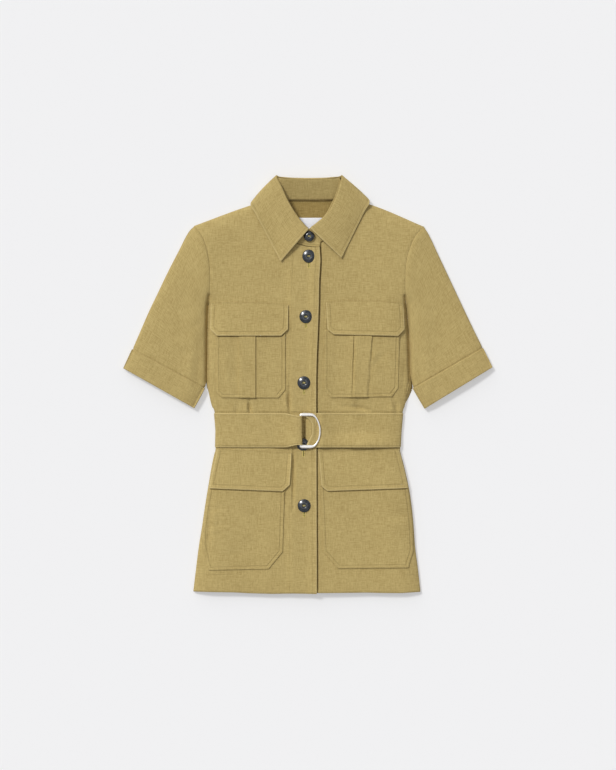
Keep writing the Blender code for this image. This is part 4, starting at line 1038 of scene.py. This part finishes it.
leaf_table = []
for i, (rx, ry, rz, px, py, pz, ex, ey, lift) in enumerate(LEAF):
    if i < LEAF_FRONT_STATIONS:
        lift += level_at(over, ex, ey)
    elif i >= len(LEAF) - LEAF_FRONT_STATIONS:
        lift += level_at(height, ex, ey)
    leaf_table.append((rx, ry, rz, px, py, pz, ex, ey, lift))
stations = flow(leaf_table, 7)
grid = []
for rx, ry, rz, px, py, pz, ex, ey, ez in stations:
    away = np.array([rx - NECK_CENTRE[0], ry - NECK_CENTRE[1]])
    away /= np.linalg.norm(away)
    s = LEAF_STEPS[:, None]
    curve = (1 - s) ** 2 * [rx, ry, rz] + 2 * s * (1 - s) * [px, py, pz] + s * s * [ex, ey, ez]
    curve[:, 2] = np.maximum(curve[:, 2], 0.0)
    lip = [(rx - away[0] * out, ry - away[1] * out, rz - drop) for out, drop in LEAF_LIP]
    grid.append(np.concatenate([lip, curve]))
grid = np.array(grid)
run = np.stack([travelled(row) for row in grid])
from_outer = run[:, -1:] - run
ends = [grid[0, :, :2], grid[-1, :, :2]]
from_front = line_distance(grid[..., 0], grid[..., 1], ends)
edge = np.minimum(from_outer, from_front)
grid[..., 2] += np.where(grid[..., 2] > 6, turned_edge(edge, LEAF_SEAM) * smooth(run / 8), 0)
uv = band_places(travelled(grid[:, LEAF_LENGTH_COLUMN, :2]), run)
# Rim and needle marks: painted highlight on the free edges, painted shade along the stitches
collar = shell("collar_leaf", grid, LEAF_CLOTH, uv, flip=True, rim=edge,
               needle=np.abs(edge - LEAF_SEAM))
sewn(collar, ["collar"],
     KHAKI)

# The collar stand
# A linen band between the neck seam and the leaf, buttoned at the throat, right end over
# left. Its inside shows all round the neck opening.
STAND_RIGHT = (
    (22.6, 246.0, 13.6), (9.0, 260.5, 14.6), (-7.0, 269.5, 17.2), (-17.5, 282.0, 18.6),
    (-25.0, 296.0, 19.8), (-33.0, 311.5, 20.0), (-41.5, 328.0, 19.6), (-51.0, 350.0, 17.6),
)
STAND_LEFT = (
    (-18.0, 250.0, 12.0), (-3.0, 262.5, 13.2), (12.0, 271.5, 15.6), (23.0, 281.5, 17.6),
    (32.0, 293.0, 19.2), (39.0, 306.0, 19.8), (47.0, 323.0, 19.6), (54.6, 350.0, 17.6),
)
STAND_BACK = (
    (-50.0, 314.5, 1.6, -43.0, 350.6, 17.4), (-25.0, 314.2, 1.6, -24.0, 349.2, 17.4),
    (2.0, 314.2, 1.6, 2.0, 348.6, 17.4), (27.0, 314.2, 1.6, 27.0, 349.2, 17.4),
    (50.0, 315.0, 1.6, 46.0, 350.6, 17.4),
)
NECK_FLAT_X = 21.5
STAND_INSET = 0.9
STAND_SEAM = 2.8
# The stand rises steeply at its seam: share of the rise, within what share of its width
STAND_STEP = 0.18
STAND_STEP_WIDTH = 0.06


def stand_stations(neck, tops, surface):
    """Foot and top of the stand at places along one front's neck seam."""
    points = along(neck, np.linspace(0, 1, len(tops)))
    rows = []
    for (x, y), top in zip(points, tops):
        away = np.array([x - NECK_CENTRE[0], y - NECK_CENTRE[1]])
        away = away / np.linalg.norm(away) if abs(x) >= NECK_FLAT_X else np.array([0.0, -1.0])
        x, y = np.array([x, y]) - away * STAND_INSET
        rows.append((x, y, level_at(surface, x, y)) + tuple(top))
    return rows


stand_table = stand_stations(NECK_RIGHT, STAND_RIGHT, over) + list(STAND_BACK)
stand_table += stand_stations(NECK_LEFT, STAND_LEFT, height)[::-1]
grid = []
for row in flow(stand_table, 8):
    share = np.linspace(0, 1, 25)
    points = mix(row[:3], row[3:], share)
    rise = STAND_STEP * smooth(share / STAND_STEP_WIDTH) + (1 - STAND_STEP) * share
    points[:, 2] = row[2] + (row[5] - row[2]) * rise
    grid.append(points)
grid = np.array(grid)
run = np.stack([travelled(row) for row in grid])
uv = band_places(travelled(grid[:, 0]), run)
# Needle mark: painted shade along the stand's seam
stand = shell("collar_band", grid, CLOTH, uv, needle=np.abs(run - STAND_SEAM))
sewn(stand, ["collar_stand"],
     KHAKI)

# The label
# A small white woven tape, its ends turned under, sewn inside the back neck. It is bare.
# Left x, lower y, right x, upper y
LABEL = (-29.0, 258.0, 33.0, 284.5)
LABEL_GAP = 0.55
LABEL_BULGE = 0.25
TAPE = 0.7
TAPE_RIB = 0.5
# White woven tape: fine ribs across give it a soft gloss
tape, tree, shader = finish("white_woven_tape", {
    "Base Color": linear("#F2F3F7"), "Roughness": 0.6})
place = add_node(tree, "ShaderNodeUVMap", uv_map="cloth").outputs["UV"]
satin = add_node(tree, "ShaderNodeTexWave", {
    "Vector": place, "Scale": math.pi / (TAPE_RIB * MM) / 10.0}, bands_direction="Y")
ridges = add_node(tree, "ShaderNodeBump", {
    "Height": satin.outputs["Fac"], "Strength": 0.2, "Distance": 0.1 * MM})
tree.links.new(ridges.outputs["Normal"], shader.inputs["Normal"])
x = np.linspace(LABEL[0], LABEL[2], 40)
y = np.linspace(LABEL[1], LABEL[3], 18)
grid = np.stack(np.meshgrid(x, y), axis=2)
label_cut = (LABEL[2] - LABEL[0], LABEL[3] - LABEL[1])
bulge = LABEL_BULGE * np.sin((grid[..., 0] - LABEL[0]) / label_cut[0] * np.pi) ** 2
high = CLOTH + LABEL_GAP + TAPE + bulge
top = np.concatenate([grid, high[..., None]], axis=2)
label = shell("neck_label", top, TAPE, grid * MM)
sewn(label, ["label"], tape)

# The belt
# One long strip of doubled linen, stitched near both edges. Its end is sewn round the
# ring's bar; the strip goes round behind the jacket and its free end lies under the ring.
BELT_MIDDLE_Y = (BELT_HIGH_Y + BELT_LOW_Y) / 2
BELT_WIDTH = BELT_HIGH_Y - BELT_LOW_Y
BELT_CLOTH = 1.2
# It narrows at either edge towards the ring, so its mean width is less
BELT_NARROW = 4.4
# How far the lower edge stands off the jacket: x, rise
BELT_LOOSE = (
    (-168, 0), (-150, 1.0), (-128, 0.3), (-104, 1.2), (-70, 0.5), (-40, 1.4), (-16, 0.6),
    (14, 1.6), (30, 2.8), (60, 4.6), (92, 7.4), (118, 5.0), (140, 2.6), (156, 1.6), (168, 0),
)
BELT_SEAM = 2.6
BELT_RETURN = ((-47.0, 1.75), (-34.0, 2.2), (-24.0, 3.9), (-16.0, 4.5))
BELT_FOLD = ((-11.7, 4.6), (-10.8, 5.4), (-10.6, 6.4), (-10.8, 7.4), (-11.7, 8.2))
BELT_LEFT_RUN = ((-18.0, 8.3), (-26.0, 6.6), (-36.0, 4.4), (-48.0, 2.4), (-62.0, 1.0))
BELT_RIGHT_RUN = ((62.0, 0.6), (46.0, 1.4), (32.0, 2.6), (22.0, 3.4), (14.0, 3.5))
BELT_END = (
    (-106.5, -4.0), (-100.0, -1.5), (-93.5, 1.7), (-83.0, 7.5), (-66.0, 7.5), (-58.0, 2.0),
    (-53.5, -5.0), (-47.0, -8.0),
)
# At the sides it turns down: distances from the side
BELT_TURN = (28, 22, 17, 13, 9.5, 7, 5, 3.4, 2.2, 1.2, 0.4)
RING_Z = level_at(over, 0.0, -77.0)
BELT_STEP = 2.4


def belt_line(y):
    """The belt's inner face at one place in its width, from the sewn end to the free one."""
    left = float(between([(b, a) for a, b in SIDE_RIGHT], y))
    right = float(between([(b, a) for a, b in SIDE_LEFT], y))
    line = []
    reach = BELT_WIDTH / 2
    low = float(smooth((BELT_MIDDLE_Y - y) / 26))

    def loose(x):
        return low * float(between(BELT_LOOSE, x))

    def lying(x):
        return (x, y, level_at(height, x, y) + LAYER_GAP + loose(x))

    for x, lift in BELT_RETURN + BELT_FOLD + BELT_LEFT_RUN:
        narrow = BELT_NARROW * float(smooth((x + 40) / 24))
        at = BELT_MIDDLE_Y + (y - BELT_MIDDLE_Y) * (reach - narrow) / reach
        base = RING_Z + (level_at(over, x, at) - RING_Z) * float(smooth((-16 - x) / 20))
        line.append((x, at, base + lift + loose(x)))
    for x in np.arange(-70, -125, -6.0):
        gap = LAYER_GAP + 0.5 * float(smooth((x + 90) / 20))
        line.append((x, y, level_at(over, x, y) + gap + loose(x)))
    line += [lying(left + step) for step in BELT_TURN]
    line.append((left - LAYER_GAP, y, EDGE_Z + 0.6))
    line.append((left - LAYER_GAP - 0.2, y, 2.6))
    line.append((left - LAYER_GAP, y, BELT_CLOTH))
    for share in np.linspace(0.03, 0.97, 21):
        line.append((left + (right - left) * share, y, BELT_CLOTH))
    line.append((right + LAYER_GAP, y, BELT_CLOTH))
    line.append((right + LAYER_GAP + 0.2, y, 2.6))
    line.append((right + LAYER_GAP, y, EDGE_Z + 0.6))
    line += [lying(right - step) for step in BELT_TURN[::-1]]
    line += [lying(x) for x in np.arange(124, 66, -6.0)]
    for x, lift in BELT_RIGHT_RUN:
        base = level_at(height, x, y) + OVERLAP_LIFT * float(smooth((40 - x) / 24))
        line.append((x, y, base + lift + loose(x)))
    end = float(between(BELT_END, y))
    for share in (0.35, 0.7, 1.0):
        line.append((14.0 + (end - 14.0) * share, y, RING_Z + 3.5))
    return np.array(line)


widths = edge_marks(BELT_WIDTH, 3.0)
lines = np.array([belt_line(BELT_LOW_Y + BELT_WIDTH * share) for share in widths])
marks = travelled(lines[len(lines) // 2])
fine = [0.0]
for a, b in zip(marks[:-1], marks[1:]):
    count = max(1, int(math.ceil((b - a) / BELT_STEP)))
    fine += list(a + (b - a) * np.arange(1, count + 1) / count)
fine = np.array(fine)
grid = np.stack([
    np.stack([np.interp(fine, marks, line[:, k]) for k in range(3)], axis=1)
    for line in lines])
for _ in range(2):
    grid[:, 1:-1] = (grid[:, :-2] + 2 * grid[:, 1:-1] + grid[:, 2:]) / 4
away = np.minimum(widths, 1 - widths) * BELT_WIDTH
belt_edge = np.repeat(away[:, None], len(fine), axis=1)
from_end = np.repeat((fine[-1] - fine)[None], len(widths), axis=0)
belt_edge = np.minimum(belt_edge, from_end)
uv = np.stack([np.broadcast_to(fine, belt_edge.shape),
               np.broadcast_to(grid[:, :1, 1], belt_edge.shape)], axis=2) * MM
# Rim and needle marks: painted highlight on the free edges, painted shade along the stitches
belt = shell("belt_strip", grid, BELT_CLOTH, uv, rim=belt_edge,
             needle=np.abs(belt_edge - BELT_SEAM))
sewn(belt, ["belt"],
     KHAKI)

# The ring
# A D-ring of pale polished metal, taken as plated wire. Its straight bar lies inside the
# belt's sewn end.
# Outline from the bar clockwise: x, y, half width seen from above
RING = (
    (-12.9, -77.3, 1.5), (-12.9, -60.0, 1.5), (-12.9, -53.6, 1.8), (-11.6, -50.8, 2.3),
    (-9.0, -50.2, 2.7), (-2.0, -50.1, 2.7), (5.5, -50.4, 2.6), (9.5, -51.6, 2.1),
    (13.6, -55.6, 1.5), (17.2, -62.4, 1.45), (19.6, -70.6, 1.4), (20.2, -77.4, 1.4),
    (19.8, -84.6, 1.4), (17.8, -92.6, 1.45), (14.2, -99.4, 1.5), (10.4, -103.2, 1.9),
    (6.0, -104.4, 2.6), (-2.0, -104.6, 2.8), (-9.6, -104.4, 2.8), (-12.0, -103.6, 2.4),
    (-12.9, -100.8, 1.7), (-12.9, -94.0, 1.5),
)
RING_RISE = 6.4
RING_HALF_HEIGHT = 1.4
RING_SIDES = 16
# Pale plating: a bright soft mirror with a slight haze
plated, tree, shader = finish("polished_pale_plating", {
    "Base Color": linear("#FBF8F1"), "Metallic": 0.5})
place = add_node(tree, "ShaderNodeTexCoord").outputs["Object"]
haze = add_node(tree, "ShaderNodeTexNoise", {"Vector": place, "Scale": 900.0, "Detail": 3.0})
rough = add_node(tree, "ShaderNodeMapRange", {
    "Value": haze.outputs[0], "To Min": 0.20, "To Max": 0.30})
tree.links.new(rough.outputs["Result"], shader.inputs["Roughness"])


def link_mesh(name, built, material):
    """A bmesh made into a smooth object of one material."""
    bmesh.ops.recalc_face_normals(built, faces=built.faces)
    made = bpy.data.meshes.new(name)
    built.to_mesh(made)
    built.free()
    made.shade_smooth()
    made.materials.append(material)
    return add_object(name, made)


def circle(count):
    """Angles of a circle's points."""
    return 2 * np.pi * np.arange(count) / count


def bridge(built, one, two):
    """Faces between two loops of as many points, which turn the same way."""
    for k in range(len(one)):
        d = (k + 1) % len(one)
        built.faces.new((one[k], one[d], two[d], two[k]))


closed = np.array(RING)
ringed = flow(np.concatenate([closed[-2:], closed, closed[:2]]), 6)[12:-12]
ways = np.roll(ringed[:, :2], -1, axis=0) - np.roll(ringed[:, :2], 1, axis=0)
ways /= np.linalg.norm(ways, axis=1, keepdims=True)
ring_mesh = bmesh.new()
loops = []
for (x, y, half), way in zip(ringed, ways):
    loops.append([ring_mesh.verts.new((
        (x + way[1] * half * math.cos(t)) * MM, (y - way[0] * half * math.cos(t)) * MM,
        (RING_Z + RING_RISE + RING_HALF_HEIGHT * math.sin(t)) * MM))
        for t in circle(RING_SIDES)])
for one, two in zip(loops, loops[1:] + loops[:1]):
    bridge(ring_mesh, one, two)
ring = link_mesh("ring_polished", ring_mesh, plated)
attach(ring, BODY)
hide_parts("d_ring")

# The buttons
# Six round four-hole buttons, dark and mottled like horn, taken as turned resin. The face
# is domed round a small sunk middle, and yellowish khaki thread holds each one on.
# Rows: x, y, rise over the front, radius
BUTTONS = (
    (2.0, 252.5, 2.4, 9.0), (1.5, 218.6, 0.75, 11.2), (-3.4, 116.0, 0.6, 11.2),
    (-6.8, 3.7, 0.8, 11.2), (-7.7, -102.0, 0.35, 11.2), (-6.5, -205.0, 0.6, 11.2),
)
BUTTON_HEIGHT = 3.3
BUTTON_SIDES = 56
HOLE_OFFSET = 1.3
HOLE_RADIUS = 0.7
DRILL_DEPTH = 8
# Three strands side by side over each pair of holes
STRAND_LANES = (-0.42, 0.0, 0.42)
STRAND_RADIUS = 0.26
STRAND_LEVEL = 0.53
STRAND_ARCH = 0.55
STRAND_SUNK = 0.4
# Half section from the middle of the face round to the back: share of radius, of height
BUTTON_SECTION = (
    (0.10, 0.50), (0.23, 0.51), (0.27, 0.58), (0.30, 0.82), (0.34, 0.95), (0.40, 1.0),
    (0.48, 0.97), (0.58, 0.88), (0.68, 0.77), (0.78, 0.65), (0.87, 0.52), (0.94, 0.39),
    (0.985, 0.26), (1.0, 0.16), (0.98, 0.08), (0.90, 0.02), (0.6, 0.0),
)
# Mottled resin: near black with slate clouds, under a soft polish
horn, tree, shader = finish("dark_horn_resin", {
    "Roughness": 0.25, "IOR": 1.6, "Coat Weight": 0.6, "Coat Roughness": 0.2})
place = add_node(tree, "ShaderNodeTexCoord").outputs["Object"]
cloud = add_node(tree, "ShaderNodeTexNoise", {
    "Vector": place, "Scale": 260.0, "Detail": 4.0, "Distortion": 1.6})
ramp = add_node(tree, "ShaderNodeValToRGB", {"Fac": cloud.outputs[0]})
ramp.color_ramp.elements[0].position = 0.36
ramp.color_ramp.elements[0].color = linear("#0F1114")
ramp.color_ramp.elements[1].position = 0.68
ramp.color_ramp.elements[1].color = linear("#3A4148")
tree.links.new(ramp.outputs["Color"], shader.inputs["Base Color"])
# Thick sewing thread: yellower and a little glossier than the linen
thread = finish("khaki_polyester_thread", {
    "Base Color": linear("#D6C56C"), "Roughness": 0.55, "Sheen Weight": 0.2})[0]
for number, (x, y, rise, radius) in enumerate(BUTTONS, 1):
    z = level_at(over, x, y) - level_at(creased, x, y) + rise
    built = bmesh.new()
    rings = []
    for reach, level in BUTTON_SECTION:
        rings.append([built.verts.new((
            (x + radius * reach * math.cos(t)) * MM, (y + radius * reach * math.sin(t)) * MM,
            (z + level * BUTTON_HEIGHT) * MM)) for t in circle(BUTTON_SIDES)])
    for one, two in zip(rings, rings[1:]):
        for k in range(BUTTON_SIDES):
            d = (k + 1) % BUTTON_SIDES
            built.faces.new((one[k], two[k], two[d], one[d]))
    built.faces.new(rings[0])
    built.faces.new(rings[-1][::-1])
    body = link_mesh(f"button_{number}_turned", built, horn)
    drill = bmesh.new()
    for sx, sy in ((1, 1), (1, -1), (-1, 1), (-1, -1)):
        centre = Matrix.Translation((
            (x + sx * HOLE_OFFSET) * MM, (y + sy * HOLE_OFFSET) * MM,
            (z + BUTTON_HEIGHT / 2) * MM))
        bmesh.ops.create_cone(drill, cap_ends=True, segments=18, radius1=HOLE_RADIUS * MM,
                              radius2=HOLE_RADIUS * MM, depth=DRILL_DEPTH * MM,
                              matrix=centre)
    cutter = link_mesh("drill", drill, horn)
    cut = body.modifiers.new("holes", "BOOLEAN")
    cut.object = cutter
    cut.solver = "EXACT"
    graph = bpy.context.evaluated_depsgraph_get()
    drilled = bpy.data.meshes.new_from_object(body.evaluated_get(graph))
    body.modifiers.clear()
    body.data = drilled
    body.data.shade_smooth()
    bpy.data.objects.remove(cutter, do_unlink=True)
    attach(body, BODY)
    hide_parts(f"button_{number}")
    # Thread over the middle, from hole to hole
    strands = bmesh.new()
    for sx in (-1, 1):
        for lane in STRAND_LANES:
            ring_before = None
            for t in np.linspace(-1, 1, 9):
                px = x + sx * HOLE_OFFSET * 0.98 + lane
                py = y + t * (HOLE_OFFSET + 0.1)
                pz = z + BUTTON_HEIGHT * STRAND_LEVEL + STRAND_ARCH * (1 - t ** 4) - STRAND_SUNK
                ring_now = [strands.verts.new((
                    (px + STRAND_RADIUS * math.cos(a)) * MM, py * MM,
                    (pz + STRAND_RADIUS * math.sin(a)) * MM)) for a in circle(6)]
                if ring_before:
                    bridge(strands, ring_before, ring_now)
                else:
                    strands.faces.new(ring_now[::-1])
                ring_before = ring_now
            strands.faces.new(ring_before)
    sewing = link_mesh(f"button_{number}_thread", strands, thread)
    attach(sewing, BODY)

# The stitching
# Khaki thread, taken as polyester: rows of 2.3 mm stitches along the turned edges, short
# bars of close stitches at the chest flaps' corners, and whipped buttonholes. The stitches
# lie half sunk in the cloth.
# Kinds of stitch: pitch, length and radius of the thread, and its turn off the line
SINGLE_ROW = (3.0, 2.3, 0.26, 0.0)
CLOSE_BAR = (0.55, 2.0, 0.3, math.pi / 2)
WHIPPED_EDGE = (0.6, 1.5, 0.4, math.pi / 2)
SLIT_SHADOW = (0.7, 1.4, 0.6, 0.0)
SAMPLE_STEP = 1.5
TACK_LENGTH = 6.0
# Two rows round the belt's free end, and two along the collar stand behind the neck
BELT_END_SEAMS = (BELT_SEAM, 6.4)
STAND_SEAMS_Y = (342.6, 318.2)
# The belt's long rows end at its sides. Towards the ring they narrow with it: x, share
BELT_ROW_START = 24.0
BELT_ROW_END = 168.0
BELT_ROW_NARROWS = ((-44.0, 0.0), (-24.0, 0.8), (-13.0, 1.0))
# A buttonhole, measured from its button's middle and from its own line
BUTTONHOLE_END = 19.0
BUTTONHOLE_TUCK = 1.5
BUTTONHOLE_HALF = 1.15
BUTTONHOLE_BAR = 1.8


def inset(line, away):
    """A polyline moved sideways, to its left where away is positive."""
    line = np.asarray(line, float)
    way = np.diff(line, axis=0)
    way /= np.linalg.norm(way, axis=1, keepdims=True)
    side = np.stack([-way[:, 1], way[:, 0]], axis=1)
    out = [line[0] + side[0] * away]
    for k in range(1, len(way)):
        joint = side[k - 1] + side[k]
        out.append(line[k] + joint * away * 2 / max(float(joint @ joint), 0.8))
    return np.array(out + [line[-1] + side[-1] * away])


def draped(piece, line, least=2.0):
    """A line seen from above, laid on top of a piece as one or more runs of points."""
    tree = BVHTree.FromObject(piece, bpy.context.evaluated_depsgraph_get())
    line = np.asarray(line, float)
    length = float(travelled(line)[-1])
    runs, run = [], []
    for x, y in along(line, np.linspace(0, 1, max(2, int(length / SAMPLE_STEP)))):
        hit = tree.ray_cast(Vector((x * MM, y * MM, 0.08)), Vector((0, 0, -1)))[0]
        if hit is not None and hit.z > least * MM:
            run.append(tuple(hit))
        elif run:
            runs.append(run)
            run = []
    return [run for run in runs + [run] if len(run) > 1]


def thread_tree():
    """Places one stitch after another along every line of a mesh."""
    tree = bpy.data.node_groups.new("thread_along_lines", "GeometryNodeTree")
    face = tree.interface
    face.new_socket("Lines", in_out="INPUT", socket_type="NodeSocketGeometry")
    for name, kind in (("Pitch", "Float"), ("Stitch Length", "Float"), ("Thread Radius", "Float"),
                       ("Turn", "Float"), ("Seed", "Int"), ("Thread", "Material")):
        face.new_socket(name, in_out="INPUT", socket_type="NodeSocket" + kind)
    face.new_socket("Stitches", in_out="OUTPUT", socket_type="NodeSocketGeometry")
    given = add_node(tree, "NodeGroupInput").outputs
    curve = add_node(tree, "GeometryNodeMeshToCurve", {"Mesh": given["Lines"]})
    spaced = add_node(tree, "GeometryNodeResampleCurve", {
        "Curve": curve.outputs[0], "Length": given["Pitch"]}, mode="LENGTH")
    ball = add_node(tree, "GeometryNodeMeshUVSphere", {"Segments": 6, "Rings": 5, "Radius": 1.0})
    half = add_node(tree, "ShaderNodeMath", {0: given["Stitch Length"], 1: 0.5},
                    operation="MULTIPLY")
    sizes = add_node(tree, "ShaderNodeCombineXYZ", {
        "X": half.outputs[0], "Y": given["Thread Radius"], "Z": given["Thread Radius"]})
    turned = add_node(tree, "ShaderNodeCombineXYZ", {"Z": given["Turn"]})
    stitch = add_node(tree, "GeometryNodeTransform", {
        "Geometry": ball.outputs[0], "Scale": sizes.outputs[0],
        "Rotation": turned.outputs[0]})
    smooth_stitch = add_node(tree, "GeometryNodeSetShadeSmooth", {
        "Geometry": stitch.outputs[0]})
    way = add_node(tree, "GeometryNodeInputTangent")
    facing = add_node(tree, "FunctionNodeAlignRotationToVector", {
        "Vector": way.outputs[0]}, axis="X")
    uneven = add_node(tree, "FunctionNodeRandomValue", {2: 0.9, 3: 1.1, "Seed": given["Seed"]},
                      data_type="FLOAT")
    placed = add_node(tree, "GeometryNodeInstanceOnPoints", {
        "Points": spaced.outputs[0], "Instance": smooth_stitch.outputs[0],
        "Rotation": facing.outputs[0], "Scale": uneven.outputs[1]})
    real = add_node(tree, "GeometryNodeRealizeInstances", {"Geometry": placed.outputs[0]})
    coloured = add_node(tree, "GeometryNodeSetMaterial", {
        "Geometry": real.outputs[0], "Material": given["Thread"]})
    add_node(tree, "NodeGroupOutput", {"Stitches": coloured.outputs[0]})
    return tree


def sew(name, runs, pitch, length, radius, turn, material, seed):
    """Stitches along runs of points, as one mesh."""
    points, edges = [], []
    for run in runs:
        edges += [(len(points) + k, len(points) + k + 1) for k in range(len(run) - 1)]
        points += run
    lines = bpy.data.meshes.new(name)
    lines.from_pydata(points, edges, [])
    piece = add_object(name, lines)
    laid_out = piece.modifiers.new("stitches", "NODES")
    laid_out.node_group = THREAD_TREE
    values = {"Pitch": pitch * MM, "Stitch Length": length * MM, "Thread Radius": radius * MM,
              "Turn": turn, "Seed": seed, "Thread": material}
    for socket in THREAD_TREE.interface.items_tree:
        if socket.name in values:
            laid_out[socket.identifier] = values[socket.name]
    piece.update_tag()
    graph = bpy.context.evaluated_depsgraph_get()
    made = bpy.data.meshes.new_from_object(piece.evaluated_get(graph))
    piece.modifiers.clear()
    piece.data = made
    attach(piece, BODY)
    return piece


THREAD_TREE = thread_tree()
# Seam thread: nearly the cloth's own colour, told from it by its small shadows
seam_thread = finish("khaki_seam_thread", {
    "Base Color": linear("#B7A264"), "Roughness": 0.6, "Sheen Weight": 0.15})[0]
# Painted shadow: the dark that stands for the shade inside an open buttonhole's slit
painted_slit_shadow = finish("painted_buttonhole_shadow", {
    "Base Color": linear("#33280F"), "Roughness": 1.0})[0]
runs, tacks = [], []
for node, table, surface, under in flaps:
    piece = bpy.data.objects[f"{node}_cloth"]
    shape = outline(table)[:-1]
    runs += draped(piece, inset(shape, FLAP_SEAM))
    if node.startswith("chest"):
        (ax, ay, bx, by, bow), shares = table[0][:5], np.linspace(0.02, 0.98, 30)
        upper = mix((ax, ay), (bx, by), shares)
        upper[:, 1] += bow * 4 * shares * (1 - shares) - 1.6
        runs += draped(piece, upper)
        for x, y, to in ((ax, ay, 1), (bx, by, -1)):
            tacks += draped(piece, [(x + to * 1.8, y - 1.8), (x + to * 1.8, y - TACK_LENGTH)])
patches = (
    ("chest_pocket_right", CHEST_POCKET_RIGHT), ("hip_pocket_right", HIP_POCKET_RIGHT),
    ("chest_pocket_left", CHEST_POCKET_LEFT), ("hip_pocket_left", HIP_POCKET_LEFT))
for node, table in patches:
    runs += draped(bpy.data.objects[f"{node}_patch"], inset(outline(table)[:-1], POCKET_SEAM))
leaf_right = [LEAF[0][:2]] + [row[6:8] for row in LEAF[:LEAF_FRONT_STATIONS]]
leaf_left = [LEAF[-1][:2]] + [row[6:8] for row in LEAF[:-LEAF_FRONT_STATIONS - 1:-1]]
runs += draped(collar, inset(leaf_right, -LEAF_SEAM), 8.0)
runs += draped(collar, inset(leaf_left, LEAF_SEAM), 8.0)
for seam in PLACKET_SEAMS:
    runs += draped(front_right, inset(EDGE_OVER + EDGE_OVER_TOP[1:], seam))
for y, inwards in ((BELT_LOW_Y + BELT_SEAM, 1), (BELT_HIGH_Y - BELT_SEAM, -1)):
    runs += draped(belt, [(BELT_ROW_START, y), (BELT_ROW_END, y)])
    runs += draped(belt, [(-BELT_ROW_END, y)] + [
        (x, y + inwards * BELT_NARROW * share) for x, share in BELT_ROW_NARROWS])
free_end = [(x, y) for y, x in BELT_END[1:-1]]
for seam in BELT_END_SEAMS:
    runs += draped(belt, inset(free_end, -seam), 8.0)
for y in STAND_SEAMS_Y:
    runs += draped(stand, [(-38.0, y), (0.0, y - 0.6), (42.0, y)])
runs += draped(back_piece, [(-48.0, 311.4), (0.0, 310.8), (50.0, 311.6)], 0.5)
hem_right, hem_left = SIDE_RIGHT[0][1] + HEM_DEPTH, SIDE_LEFT[0][1] + HEM_DEPTH
runs += draped(front_right, [(-186.0, hem_right), (12.0, hem_right - 2.0)])
runs += draped(front_left, [(17.0, hem_left - 1.2), (183.0, hem_left)])
sew("topstitching", runs, *SINGLE_ROW, seam_thread, 3)
sew("corner_bars", tacks, *CLOSE_BAR, seam_thread, 5)
# Under each button the hole's lower end shows: two whipped edges, a bar across its end, and dark
# beads down the slit as painted shadow
whipped, slit_shadow_runs = [], []
for x, y, rise, radius in BUTTONS[1:]:
    top, end = y - radius + BUTTONHOLE_TUCK, y - BUTTONHOLE_END
    for off in (-BUTTONHOLE_HALF, BUTTONHOLE_HALF):
        whipped += draped(front_right, [(x + off, top), (x + off, end)])
    whipped += draped(front_right, [(x - BUTTONHOLE_BAR, end), (x + BUTTONHOLE_BAR, end)])
    slit_shadow_runs += draped(front_right, [(x, top), (x, end + 0.6)])
sew("buttonhole_edges", whipped, *WHIPPED_EDGE, thread, 7)
# Dark beads along each slit: painted shadow where the open hole would lie in shade
sew("buttonhole_slit_painted_shadow", slit_shadow_runs, *SLIT_SHADOW, painted_slit_shadow, 9)

# The surface and the studio light
# A white light table, which keeps shadows on it soft and pale. One broad light hangs at
# the upper left, a lower one beyond the collar, and pale walls fill in from all sides.
# Metres: half width, and how far it lies under the jacket
FLOOR_REACH = 6.0
FLOOR_DEPTH = 0.0004
# Taken as an opal sheet lit from below: plain white, no gloss, pale shadows
board = finish("white_light_table", {
    "Base Color": (0.57, 0.57, 0.57, 1.0), "Roughness": 1.0, "Specular IOR Level": 0.0,
    "Emission Color": (1.0, 1.0, 1.0, 1.0), "Emission Strength": 0.33})[0]
floor_mesh = bpy.data.meshes.new("floor")
floor_mesh.from_pydata(
    [(x * FLOOR_REACH, y * FLOOR_REACH, -FLOOR_DEPTH)
     for x, y in ((-1, -1), (1, -1), (1, 1), (-1, 1))], [], [(0, 1, 2, 3)])
floor_mesh.materials.append(board)
floor = add_object("floor", floor_mesh)
world = bpy.data.worlds.new("studio")
world.use_nodes = True
# Pale walls all round, and a white ceiling panel straight above
PANEL_START, PANEL_FULL = 0.86, 0.93
WALL_LIGHT, PANEL_LIGHT = 0.33, 0.98
tree = world.node_tree
upward = add_node(tree, "ShaderNodeTexCoord").outputs["Generated"]
split = add_node(tree, "ShaderNodeSeparateXYZ", {"Vector": upward})
panel = add_node(tree, "ShaderNodeMapRange", {
    "Value": split.outputs["Z"], "From Min": PANEL_START, "From Max": PANEL_FULL,
    "To Min": WALL_LIGHT, "To Max": PANEL_LIGHT}, interpolation_type="SMOOTHSTEP")
backdrop = tree.nodes["Background"]
backdrop.inputs["Color"].default_value = linear("#FBFBFF")
tree.links.new(panel.outputs["Result"], backdrop.inputs["Strength"])
bpy.context.scene.world = world
# Rows: name, direction it shines in, power, width in degrees
LIGHTS = (
    ("broad_light", (0.58, -0.60, -0.92), 1.86, 12.0),
    ("low_collar_side_light", (0.50, -1.0, -0.50), 0.62, 45.0),
)
for name, direction, power, wide in LIGHTS:
    light_data = bpy.data.lights.new(name, "SUN")
    light_data.energy = power
    light_data.angle = math.radians(wide)
    light = add_object(name, light_data)
    light.rotation_euler = Vector(direction).to_track_quat("-Z", "Y").to_euler()
bpy.context.scene.view_settings.view_transform = "Standard"
